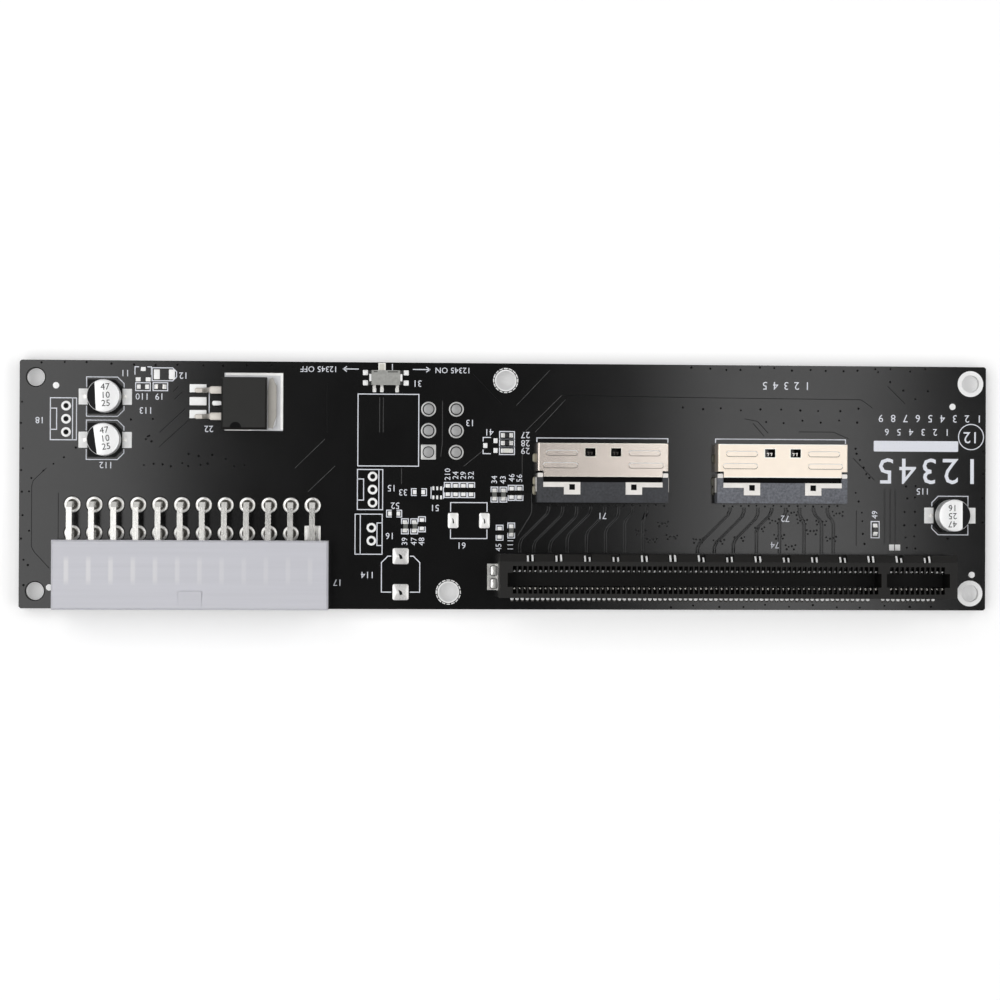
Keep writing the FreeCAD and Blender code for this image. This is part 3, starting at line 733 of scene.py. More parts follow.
    def mesh(self, name: str) -> bpy.types.Mesh:
        """The shape as a clean mesh in metres, with outward faces.

        Args:
            name: Name of the mesh.

        Returns:
            The mesh.
        """
        made = bpy.data.meshes.new(name)
        made.from_pydata([tuple(c * MM for c in p) for p in self.points], [], self.faces)
        work = bmesh.new()
        work.from_mesh(made)
        bmesh.ops.remove_doubles(work, verts=work.verts, dist=1e-7)
        bmesh.ops.dissolve_degenerate(work, edges=work.edges, dist=1e-8)
        bmesh.ops.recalc_face_normals(work, faces=work.faces)
        work.to_mesh(made)
        work.free()
        made.polygons.foreach_set("use_smooth", [True] * len(made.polygons))
        made.set_sharp_from_angle(angle=SHARP_ANGLE)
        return made

    def piece(self, name: str, material: bpy.types.Material) -> bpy.types.Object:
        """The shape as an object.

        Args:
            name: Name of the object.
            material: Its material.

        Returns:
            The object.
        """
        made = new_object(name, self.mesh(name))
        made.data.materials.append(material)
        return made

    def lay(self, name: str, finish: Finish, slot: str = "", body: str = CARD,
            stands_for: Sequence[str] = ()) -> None:
        """Make the shape a piece of the model."""
        seat(self.piece(name, finish.material()), body, stands_for)


def seat(piece: bpy.types.Object, body: str = CARD, stands_for: Sequence[str] = ()) -> None:
    """Join a piece to the frame and report it.

    Args:
        piece: The finished piece.
        body: Body that carries it.
        stands_for: Nodes that it replaces.
    """
    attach(piece, body)
    if stands_for:
        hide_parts(*stands_for)
    LOG.info("%s: %d faces on %s", piece.name, len(piece.data.polygons), body)


class GeometryTree(NodeTree):
    """Geometry Nodes tree with named inputs that turns a layout into a piece of the card."""

    def __init__(self, name: str, **kinds: str) -> None:
        """Make the tree and its inputs.

        Args:
            name: Name of the tree.
            kinds: Type of each named input between the layout and the finish.
        """
        self.tree = bpy.data.node_groups.new(name, "GeometryNodeTree")
        sockets = self.tree.interface
        self.keys: dict[str, str] = {}
        for label, kind in {"Layout": "Geometry", **kinds, "Finish": "Material"}.items():
            made = sockets.new_socket(label, in_out="INPUT", socket_type=f"NodeSocket{kind}")
            self.keys[label] = made.identifier
        sockets.new_socket("Mesh", in_out="OUTPUT", socket_type="NodeSocketGeometry")
        self.entry = self.tree.nodes.new("NodeGroupInput")

    def given(self, label: str) -> Sock:
        """One named input, or the layout."""
        return Sock(self, self.entry.outputs[label])

    def close(self, geometry: Sock) -> None:
        """End the tree in realised instances with the given finish.

        Args:
            geometry: What the tree has made.
        """
        real = self.node("GeometryNodeRealizeInstances", None, {"Geometry": geometry})
        sockets = {"Geometry": real, "Material": self.given("Finish")}
        end = self.tree.nodes.new("NodeGroupOutput")
        self.feed(end.inputs[0], self.node("GeometryNodeSetMaterial", None, sockets))

    def bake(self, name: str, layout: bpy.types.Mesh, finish: Finish, slot: str, **values: object) -> None:
        """Run the tree on a layout and make the result a plain piece.

        Args:
            name: Name of the piece.
            layout: Points or lines that the tree works on.
            finish: Finish of the piece.
            slot: Material slot of the record; not used.
            values: Value of each other input.
        """
        piece = new_object(name, layout)
        modifier = piece.modifiers.new("layout", "NODES")
        modifier.node_group = self.tree
        for label, value in {**values, "Finish": finish.material()}.items():
            modifier[self.keys[label]] = value
        result = plain_mesh(piece)
        piece.modifiers.remove(modifier)
        piece.data = result
        result.name = name
        bpy.data.meshes.remove(layout)
        seat(piece)


class Stamps(GeometryTree):
    """Tree that repeats one stamp at every point of a layout."""

    def __init__(self) -> None:
        """Instance the stamp on the points, turned by their own angle and varied in place and size."""
        super().__init__("stamps_at_points", Stamp="Object", Spread="Float", Jitter="Float", Seed="Int")
        stamp = self.node("GeometryNodeObjectInfo", None, {"Object": self.given("Stamp")}, "Geometry")
        turn = self.node("GeometryNodeInputNamedAttribute", {"data_type": "FLOAT"}, {"Name": "turn"})
        spin = self.node("ShaderNodeCombineXYZ", None, {"Z": turn})
        spread, jitter, seed = (self.given(label) for label in ("Spread", "Jitter", "Seed"))
        size = self.node("FunctionNodeRandomValue", {"data_type": "FLOAT"},
                         {2: 1 - spread, 3: 1 + spread, "Seed": seed}, 1)
        near, far = (self.node("ShaderNodeCombineXYZ", None, {"X": reach, "Y": reach})
                     for reach in (0 - jitter, jitter))
        stray = self.node("FunctionNodeRandomValue", {"data_type": "FLOAT_VECTOR"},
                          {0: near, 1: far, "Seed": seed})
        moved = self.node("GeometryNodeSetPosition", None,
                          {"Geometry": self.given("Layout"), "Offset": stray})
        self.close(self.node("GeometryNodeInstanceOnPoints", None,
                             {"Points": moved, "Instance": stamp, "Rotation": spin, "Scale": size}))

    def lay(self, name: str, stamp: Shape, places: Sequence[Place], finish: Finish, slot: str,
            spread: float = 0.0, seed: int = 1, jitter: float = 0.0) -> None:
        """Repeat a stamp as one piece of the card.

        Args:
            name: Name of the piece.
            stamp: Shape that is repeated, around its own origin.
            places: Place and turn of each copy.
            finish: Finish of the piece.
            slot: Material slot of the record; passed on, not used.
            spread: Share by which sizes vary.
            seed: Seed of the variation.
            jitter: Distance by which places vary.
        """
        layout = bpy.data.meshes.new(name + "_layout")
        layout.from_pydata([(x * MM, y * MM, z * MM) for x, y, z, _ in places], [], [])
        turns = layout.attributes.new("turn", "FLOAT", "POINT")
        turns.data.foreach_set("value", [turn for *_, turn in places])
        model = stamp.piece(name + "_stamp", finish.material())
        self.bake(name, layout, finish, slot, Stamp=model, Spread=spread, Jitter=jitter * MM, Seed=seed)
        used = model.data
        bpy.data.objects.remove(model)
        bpy.data.meshes.remove(used)


class Sweeps(GeometryTree):
    """Tree that lays a flat strip along drawn paths."""

    def __init__(self) -> None:
        """Turn the lines into rounded curves and sweep a flat section along them."""
        super().__init__("strips_on_paths", Width="Float", Height="Float", Corner="Float")
        path = self.node("GeometryNodeMeshToCurve", None, {"Mesh": self.given("Layout")})
        eased = self.node("GeometryNodeFilletCurve", None,
                          {"Curve": path, "Radius": self.given("Corner"), "Limit Radius": True})
        level = self.node("GeometryNodeSetCurveNormal", None, {"Curve": eased})
        section = self.node("GeometryNodeCurvePrimitiveQuadrilateral", None,
                            {"Width": self.given("Width"), "Height": self.given("Height")})
        self.close(self.node("GeometryNodeCurveToMesh", None,
                             {"Curve": level, "Profile Curve": section, "Fill Caps": True}))

    def lay(self, name: str, paths: Sequence[Sequence[Point]], level: float, width: float, height: float,
            finish: Finish, slot: str, corner: float = 0.6) -> None:
        """Lay strips along paths as one piece of the card.

        Args:
            name: Name of the piece.
            paths: Lines that the strips follow.
            level: Height of the strips' middle.
            width: Width of the strips.
            height: Thickness of the strips.
            finish: Finish of the piece.
            slot: Material slot of the record; passed on, not used.
            corner: Radius of the bends.
        """
        points: list[Triple] = []
        edges: list[tuple[int, int]] = []
        for path in paths:
            start = len(points)
            points += [(x * MM, y * MM, level * MM) for x, y in path]
            edges += [(start + i, start + i + 1) for i in range(len(path) - 1)]
        layout = bpy.data.meshes.new(name + "_layout")
        layout.from_pydata(points, edges, [])
        self.bake(name, layout, finish, slot, Width=width * MM, Height=height * MM, Corner=corner * MM)


def flat(points: Iterable[Point], level: float = BOARD_TOP, turn: float = 0.0) -> list[Place]:
    """Points at one height with one turn."""
    return [(x, y, level, turn) for x, y in points]


def row(start: Point, step: Point, count: int) -> Line:
    """Evenly spaced points."""
    return [(start[0] + i * step[0], start[1] + i * step[1]) for i in range(count)]


def centred(count: int, pitch: float) -> list[float]:
    """Offsets of evenly spaced things from their middle."""
    return [(i - (count - 1) / 2) * pitch for i in range(count)]


def frame_line(centre: Point, half: Point) -> Line:
    """Closed rectangle around a point."""
    (x, y), (u, v) = centre, half
    return [(x - u, y - v), (x + u, y - v), (x + u, y + v), (x - u, y + v), (x - u, y - v)]


def collar(bore: float, rim: float, height: float, outer: Point = ORIGIN, inner: Point = ORIGIN,
           steps: int = 32) -> Shape:
    """Flat ring around its own origin.

    Args:
        bore: Inner radius.
        rim: Outer radius.
        height: Height of the ring.
        outer: Width and drop of its outer bevel.
        inner: Width and drop of its inner bevel.
        steps: Segments around.

    Returns:
        The ring.
    """
    profile = [(bore, 0), (rim, 0), (rim, height - outer[1]), (rim - outer[0], height),
               (bore + inner[0], height), (bore, height - inner[1])]
    return Shape().lathe(ORIGIN, list(dict.fromkeys(profile)), steps)


def groove(radius: float, width: float = 0.14) -> Shape:
    """Thin dark ring where the lacquer ends around a pad."""
    return collar(radius, radius + width, SKIN, steps=28)


class Side(Enum):
    """Direction on the board, as a unit step."""

    LEFT = (-1, 0)
    RIGHT = (1, 0)
    FRONT = (0, -1)
    REAR = (0, 1)


@dataclass(frozen=True)
class Pad:
    """Flat rectangular pad."""

    centre: Point
    size: Point


@dataclass(frozen=True)
class Footprint:
    """Place of one part on the board; u runs along its side and v runs across to the left."""

    centre: Point
    side: Side

    def at(self, u: float, v: float) -> Point:
        """Board point of a point given along and across."""
        along, across = self.side.value
        return (self.centre[0] + u * along - v * across, self.centre[1] + u * across + v * along)

    def span(self, size: Point) -> Point:
        """Size on the board of a size given along and across."""
        return size if self.side.value[0] else (size[1], size[0])

    def path(self, *points: Point) -> Line:
        """Line on the board through points given along and across."""
        return [self.at(u, v) for u, v in points]

    def frame(self, half: Point) -> Line:
        """Closed rectangle around the middle of the place."""
        return frame_line(self.centre, self.span(half))

    def pads_at(self, size: Point, *points: Point) -> list[Pad]:
        """Pads of one size at points given along and across."""
        return [Pad(centre, self.span(size)) for centre in self.path(*points)]

    def lines(self) -> list[Line]:
        """Printed lines."""
        return []

    def pads(self) -> list[Pad]:
        """Flat pads."""
        return []

    def holes(self) -> Line:
        """Plated holes."""
        return []


@dataclass(frozen=True)
class PadPair(Footprint):
    """Place with two pads in line."""

    reach: float = 0.83
    pad: Point = (0.72, 0.86)

    def pads(self) -> list[Pad]:
        """One pad at each end."""
        return self.pads_at(self.pad, (-self.reach, 0), (self.reach, 0))


@dataclass(frozen=True)
class TwoPadPlace(PadPair):
    """Place of a can, coil or lamp, whose outline has cut corners at its side."""

    reach: float = 4.05
    pad: Point = (2.1, 3.1)
    half: Point = (3.6, 3.8)
    chamfer: float = 1.25
    gap: float = 0.25

    def lines(self) -> list[Line]:
        """Two halves of the outline, which break at the pads.

        Returns:
            One line on each side of the pads.
        """
        u, v = self.half
        cut = self.chamfer
        clear = self.pad[1] / 2 + self.gap
        corners = ((-u, clear), (-u, v), (u - cut, v), (u, v - cut), (u, clear))
        return [self.path(*[(along, side * across) for along, across in corners]) for side in (-1, 1)]


@dataclass(frozen=True)
class PinRow(Footprint):
    """Place of a keyed pin header, with its key at its side."""

    pins: int = 3
    pitch: float = 2.54
    size: Point = (5.3, 8.1)
    shift: float = -0.5
    key: Point = (1.2, 4.1)
    seam: float = 0.75

    def lines(self) -> list[Line]:
        """Outline, key and seam.

        Returns:
            The three lines.
        """
        u, v = self.size[0] / 2, self.size[1] / 2
        depth, rise = u - self.key[0], self.key[1] / 2
        seam = self.seam - u
        notch = self.path((u, -rise), (depth, -rise), (depth, rise), (u, rise))
        return [self.frame((u, v)), notch, self.path((seam, -v), (seam, v))]

    def holes(self) -> Line:
        """One hole for each pin."""
        return self.path(*[(self.shift, v) for v in centred(self.pins, self.pitch)])


@dataclass(frozen=True)
class ChipPlace(PadPair):
    """Place of a two-ended chip, with ticks at its ends or a whole box around it."""

    boxed: bool = False
    half: Point = (1.46, 0.66)
    tick: float = 1.0

    def lines(self) -> list[Line]:
        """Box or end ticks.

        Returns:
            The box, or a bracket at each end.
        """
        if self.boxed:
            return [self.frame(self.half)]
        u, v = self.half
        corners = ((u - self.tick, -v), (u, -v), (u, v), (u - self.tick, v))
        return [self.path(*[(end * along, across) for along, across in corners]) for end in (-1, 1)]


@dataclass(frozen=True)
class TransistorPlace(Footprint):
    """Place of a three-legged part: one pad at its side and two opposite."""

    reach: float = 1.0
    spacing: float = 0.96
    pad: Point = (0.8, 0.95)
    half: Point = (1.42, 1.58)
    start: float = -0.1
    mouth: float = 0.8

    def lines(self) -> list[Line]:
        """Two corner brackets around the single pad."""
        u, v = self.half
        return [self.path((self.start, s * v), (u, s * v), (u, s * self.mouth)) for s in (-1, 1)]

    def pads(self) -> list[Pad]:
        """The three pads."""
        reach, spacing = self.reach, self.spacing
        return self.pads_at(self.pad, (reach, 0), (-reach, -spacing), (-reach, spacing))


@dataclass(frozen=True)
class SixPadPlace(Footprint):
    """Place of a small chip with two rows of three legs."""

    reach: float = 0.88
    pitch: float = 0.75
    pad: Point = (0.75, 0.4)
    half: Point = (1.15, 1.2)

    def lines(self) -> list[Line]:
        """Two side lines."""
        u, v = self.half
        return [self.path((-u, s * v), (u, s * v)) for s in (-1, 1)]

    def pads(self) -> list[Pad]:
        """Two rows of pads."""
        places = [(end, v) for end in (-self.reach, self.reach) for v in centred(3, self.pitch)]
        return self.pads_at(self.pad, *places)


@dataclass(frozen=True)
class CaseOutline(Footprint):
    """Plain printed outline of a large part."""

    half: Point = (7.0, 6.0)

    def lines(self) -> list[Line]:
        """The outline."""
        return [self.frame(self.half)]


@dataclass(frozen=True)
class BarePads(Footprint):
    """Row of bare pads without print."""

    count: int = 2
    pitch: float = 1.2
    pad: Point = (1.0, 1.2)

    def pads(self) -> list[Pad]:
        """The pads, side by side."""
        return self.pads_at(self.pad, *[(u, 0) for u in centred(self.count, self.pitch)])


# Middles of the chips' places: soldered ones, empty ones that stand, lie or have a box, and one alone.
FITTED_CHIPS: Line = [(-20.0, -7.87), (-18.2, -7.87), (-2.6, -1.6), (-0.85, -1.6), (0.7, -8.6)]
STANDING_CHIPS: Line = [(-16.7, -7.46), (0.75, -1.25), (2.3, -1.25), (-1.56, -9.04),
                        *row((-11.7, -0.75), (1.52, 0), 4)]
LYING_CHIPS: Line = [(-17.3, -1.2), (-22.1, -5.4)]
BOXED_CHIPS: Line = [(-70.7, 18.93), (-67.35, 18.95)]
SINGLE_CHIP: Point = (72.35, -8.14)


# Places that carry a part: the cans, the chips, the row of the lamp and the single chip in a box.
FITTED_PLACES: list[Footprint] = [
    *[TwoPadPlace(middle_of(f"capacitor_{number}_base"), side)
      for number, side in enumerate((Side.RIGHT, Side.RIGHT, Side.LEFT), 1)],
    *[ChipPlace(place, Side.REAR) for place in FITTED_CHIPS],
    *[ChipPlace(place, Side.RIGHT, boxed=True, half=(1.45, 0.74))
      for place in row(middle_of("status_lamp"), (0, 1.5), 3)],
    ChipPlace(SINGLE_CHIP, Side.REAR, boxed=True, half=(1.6, 0.8)),
]

# Places that are left empty: those of the large parts, then those of the chips.
SPARE_PLACES: list[Footprint] = [
    PinRow((-85.9, 12.62), Side.LEFT, size=(5.0, 8.1)),
    PinRow((-26.8, -0.75), Side.LEFT, size=(4.9, 7.8)),
    PinRow((-27.04, -9.43), Side.RIGHT, 2, size=(5.25, 7.8), shift=0.54, key=(1.0, 4.4), seam=1.0),
    CaseOutline((-23.3, 10.83), Side.REAR, (6.99, 5.9)),
    TransistorPlace((-3.43, 7.95), Side.LEFT),
    TransistorPlace((-70.66, 21.35), Side.REAR),
    SixPadPlace((-13.75, -1.32), Side.REAR),
    TwoPadPlace((-66.6, 21.35), Side.RIGHT, 1.45, (1.15, 1.9), (2.35, 1.25), 0.75, -0.95),
    BarePads((76.24, -11.65), Side.RIGHT),
    *[ChipPlace(place, Side.REAR) for place in STANDING_CHIPS],
    *[ChipPlace(place, Side.RIGHT) for place in LYING_CHIPS],
    *[ChipPlace(place, Side.RIGHT, 0.8, boxed=True, half=(1.4, 0.77)) for place in BOXED_CHIPS],
]

# Empty places whose pads carry a coat of solder: one of a can and one of a coil.
SOLDERED_PLACES: list[Footprint] = [
    TwoPadPlace((-20.8, -17.18), Side.REAR, 3.5, (3.1, 3.1), (3.5, 3.72)),
    TwoPadPlace((-7.58, -6.7), Side.RIGHT, 3.05, (2.05, 2.95), (3.55, 3.5), 0.0),
]


def pad_shape(places: Iterable[Footprint], crown: float) -> Shape:
    """Flat pads of some places.

    Args:
        places: The places.
        crown: Rise in the middle of each pad.

    Returns:
        The pads as one shape.
    """
    shape = Shape()
    for pad in [pad for place in places for pad in place.pads()]:
        shape.pillow(pad.centre, pad.size, BOARD_TOP, height=0.06, corner=0.1, crown=crown)
    return shape


@dataclass(frozen=True)
class Mark:
    """Printed number or word; a turn of 180 degrees faces the switch edge."""

    text: str
    place: Point
    turn: float = 180.0
    size: float = 1.8


# Plain numbers beside the parts: those that face the switch edge and those that stand on end.
LEVEL_MARKS: tuple[Label, ...] = (
    ("11", -74.1, 21.6), ("12", -62.9, 21.2), ("110", -70.8, 17.1), ("19", -67.5, 17.1),
    ("113", -70.1, 14.4), ("112", -77.7, 3.8), ("18", -90.4, 12.4), ("22", -58.0, 10.9),
    ("17", -33.0, -18.8), ("31", -17.7, 20.0), ("13", -7.4, 12.4), ("15", -22.6, -0.4),
    ("16", -22.9, -9.7), ("41", -3.7, 10.6), ("27", 3.4, 10.1), ("28", 3.4, 8.5), ("29", 3.4, 7.0),
    ("33", -20.4, -1.2), ("51", -14.2, -4.2), ("52", -21.9, -3.8), ("61", -9.0, -11.5),
    ("114", -27.2, -17.3), ("115", 81.8, -0.5), ("71", 18.5, -5.6), ("72", 54.5, -6.0),
    ("74", 52.5, -11.2),
)
STANDING_MARKS: tuple[Label, ...] = (
    ("210", -11.7, 2.3), ("24", -10.15, 2.1), ("29", -8.65, 2.1), ("32", -7.15, 2.1),
    ("34", -2.6, 1.3), ("43", -0.9, 1.3), ("46", 0.8, 1.7), ("56", 2.3, 1.6), ("39", -20.0, -10.8),
    ("47", -18.2, -10.8), ("48", -16.7, -10.8), ("45", -1.7, -11.9), ("111", 0.6, -11.4),
    ("49", 72.3, -5.2),
)


@dataclass
class Printing:
    """White print on the board: outlines, arrows, plain numbers and a blank band."""

    footprints: list[Footprint]
    line: float = 0.18
    arrow_head: Point = (0.7, 0.5)
    arrows: tuple[tuple[Point, float], ...] = (((-29.1, 22.67), -3.0), ((-18.6, 22.67), 3.3))
    knob_tick: tuple[Point, Point] = ((-22.57, 22.5), (-22.57, 23.7))
    ringed_place: Point = (91.36, 10.2)
    ring: float = 2.5
    band: Pad = Pad((80.4, 8.3), (16.8, 2.1))

    def arrow(self, tail: Point, length: float) -> list[Line]:
        """Arrow along the rear edge.

        Args:
            tail: Where it starts.
            length: How far it runs along X.

        Returns:
            Its shaft and its head.
        """
        tip = (tail[0] + length, tail[1])
        deep, half = self.arrow_head
        back = tip[0] - math.copysign(deep, length)
        return [[tail, tip], [(back, tip[1] + half), tip, (back, tip[1] - half)]]

    def counting(self, start: Point, step: float, count: int, size: float) -> list[Mark]:
        """Row of plain numbers that counts up from one."""
        places = row(start, (step, 0), count)
        return [Mark(str(number), place, size=size) for number, place in enumerate(places, 1)]

    def marks(self) -> list[Mark]:
        """Every printed number and the two words of the switch.

        Returns:
            The marks.
        """
        return [
            Mark("12345 OFF", (-36.8, 22.65), size=1.6),
            Mark("12345 ON", (-10.8, 22.6), size=1.6),
            *self.counting((93.0, 13.85), -2.45, 9, 2.1),
            *self.counting((86.6, 11.15), -2.4, 6, 1.9),
            *self.counting((58.8, 20.1), -2.1, 5, 2.2),
            *self.counting((91.6, 3.7), -4.3, 5, 7.2),
            Mark("12", self.ringed_place, size=3.2),
            *[Mark(text, (x, y)) for text, x, y in LEVEL_MARKS],
            *[Mark(text, (x, y), 90.0, 1.6) for text, x, y in STANDING_MARKS],
        ]

    def dress(self) -> None:
        """Print the board."""
        lines = [line for place in self.footprints for line in place.lines()]
        lines += [line for described in self.arrows for line in self.arrow(*described)]
        lines += [arc(self.ringed_place, self.ring, 0, 2 * math.pi, 32), self.knob_tick]
        shape = Shape()
        for line in lines:
            shape.stroke(line, self.line, BOARD_TOP, BOARD_TOP + INK)
        shape.prism(rounded(self.band.centre, self.band.size, 0.2), BOARD_TOP, BOARD_TOP + INK)
        shape.lay("board_print_lines", WHITE_INK)
        numbers = Shape()
        for mark in self.marks():
            turn = Matrix.Rotation(math.radians(mark.turn), 4, "Z")
            place = Matrix.Translation((*mark.place, BOARD_TOP)) @ turn
            numbers.write(mark.text, mark.size, INK, place)
        numbers.lay("board_print_numbers", WHITE_INK)


# Rows of tented vias, each with its start, step and count, and the columns and rows of one grid.
VIA_ROWS: tuple[Row, ...] = (
    ((-90.2, 23.3), (4.4, 0), 13), ((36.0, 23.3), (3.3, 0), 15), ((-93.7, 16.0), (0, -4.4), 9),
    ((93.5, 12.0), (0, -4.6), 5), ((32.0, -23.3), (4.7, 0), 12), ((-83.7, 6.9), (-2.1, -1.4), 5),
    ((-92.5, -1.5), (-0.2, -7.2), 3), ((-70.1, 3.9), (1.7, 0), 8), ((-62.1, 6.1), (2.5, -0.3), 4),
    ((-53.0, 3.9), (1.5, 0), 2), ((-70.0, 8.5), (0, 0.8), 2), ((-69.2, 8.5), (0, 0.8), 2),
    ((-68.6, 12.4), (-4.2, 0.3), 2), ((34.3, 15.3), (3.85, 0), 10), ((50.5, 13.0), (3.6, 0), 6),
    ((73.1, 22.6), (2.3, -1.7), 4), ((68.4, 7.6), (0.5, -1.15), 6), ((68.6, -0.8), (0.4, -2.0), 6),
    ((82.5, 18.9), (4.3, -29.0), 2),
)
VIA_GRID: tuple[tuple[float, ...], tuple[float, ...]] = ((78.4, 80.3), (0.3, -2.1, -4.6, -7.0, -9.5, -11.9))

# Vias between the cable sockets and the slot: one group, the middles of its copies and two rows.
VIA_GROUP: Line = [(-1.0, 0.35), (-0.75, -0.4), (-0.35, 0.1), (0.35, 0.1), (0.75, -0.4), (1.0, 0.35)]
GROUP_MIDDLES: Line = [
    (49.5, -8.2), (53.4, -9.6), (56.0, -5.0), (52.3, -6.6), (57.9, -6.6), (59.8, -8.6), (61.6, -6.8),
    (63.7, -10.0), (65.0, -5.0), (37.4, -10.4), (41.4, -10.6), (45.5, -10.1), (55.6, -11.6),
    (32.2, -9.7), (30.5, -7.2), (26.0, -8.8), (28.2, -10.4),
]
SOCKET_VIA_ROWS: tuple[Row, ...] = (((8.3, -3.6), (1.6, 0), 15), ((42.5, -3.6), (1.6, 0), 15))

# Lines of the copper: gaps between its areas, edges with a painted highlight, and single traces.
COPPER_GAPS: list[Line] = [
    [(-89.1, 3.1), (-91.6, 0.7), (-91.9, -0.4), (-91.9, -12.1), (-91.3, -13.2), (-88.4, -16.3)],
    [(-86.8, -1.7), (-86.8, -10.8)], [(-67.5, 10.1), (-62.6, 14.7)], [(-67.6, 7.2), (-61.2, 13.2)],
    [(-35.2, 19.9), (-35.2, 10.3)], [(-64.9, 18.0), (-63.9, 19.1)], [(-64.7, 16.5), (-63.2, 18.0)],
    [(-6.9, 21.9), (-1.2, 16.0)], [(10.5, 17.9), (33.6, 17.6), (69.5, 17.4), (71.7, 15.8)],
    [(46.4, 13.5), (49.0, 13.0), (51.1, 10.7)], [(48.1, 12.6), (50.3, 10.1)],
    [(74.7, 20.1), (78.2, 16.7)], [(67.9, 5.9), (72.2, 1.6)], [(68.6, -4.4), (68.6, -11.3)],
    [(57.1, 11.0), (64.0, 11.0), (67.0, 9.7)],
]
LIT_EDGES: list[Line] = [
    [(-41.4, 3.3), (-35.6, 9.0)], [(-38.8, -1.2), (-33.6, 3.8)], [(-8.6, 3.9), (-4.2, 7.5)],
    [(1.6, 15.8), (8.1, 22.7)], [(3.4, 10.8), (10.5, 17.9)], [(5.3, 10.6), (11.2, 17.0)],
]
SINGLE_TRACES: list[Line] = [
    [(-25.0, 17.2), (-25.0, 10.4)], [(-24.3, 17.2), (-24.3, 10.4)], [(-20.7, 3.4), (-20.7, 0.4)],
    [(-12.8, 16.6), (-12.8, 8.3), (-13.1, 5.7)], [(2.8, 6.2), (2.8, 0.9)],
    [(4.7, -1.3), (4.7, -5.2), (2.0, -9.6)],
    *[[(x, -0.1), (x, -10.9)] for x in (74.2, 75.3, 76.3)],
]

# Fans of traces from the cable sockets to the slot: where each starts and how far its pairs shift.
FANS: tuple[tuple[float, tuple[float, ...]], ...] = (
    (8.0, (-5.6, -5.6, -5.2, -4.6, -3.6, -2.6, -1.6, -0.8)),
    (43.6, (-6.4, -5.8, -4.8, -3.0, -1.2, 0.9, 1.6, 1.2)),
)


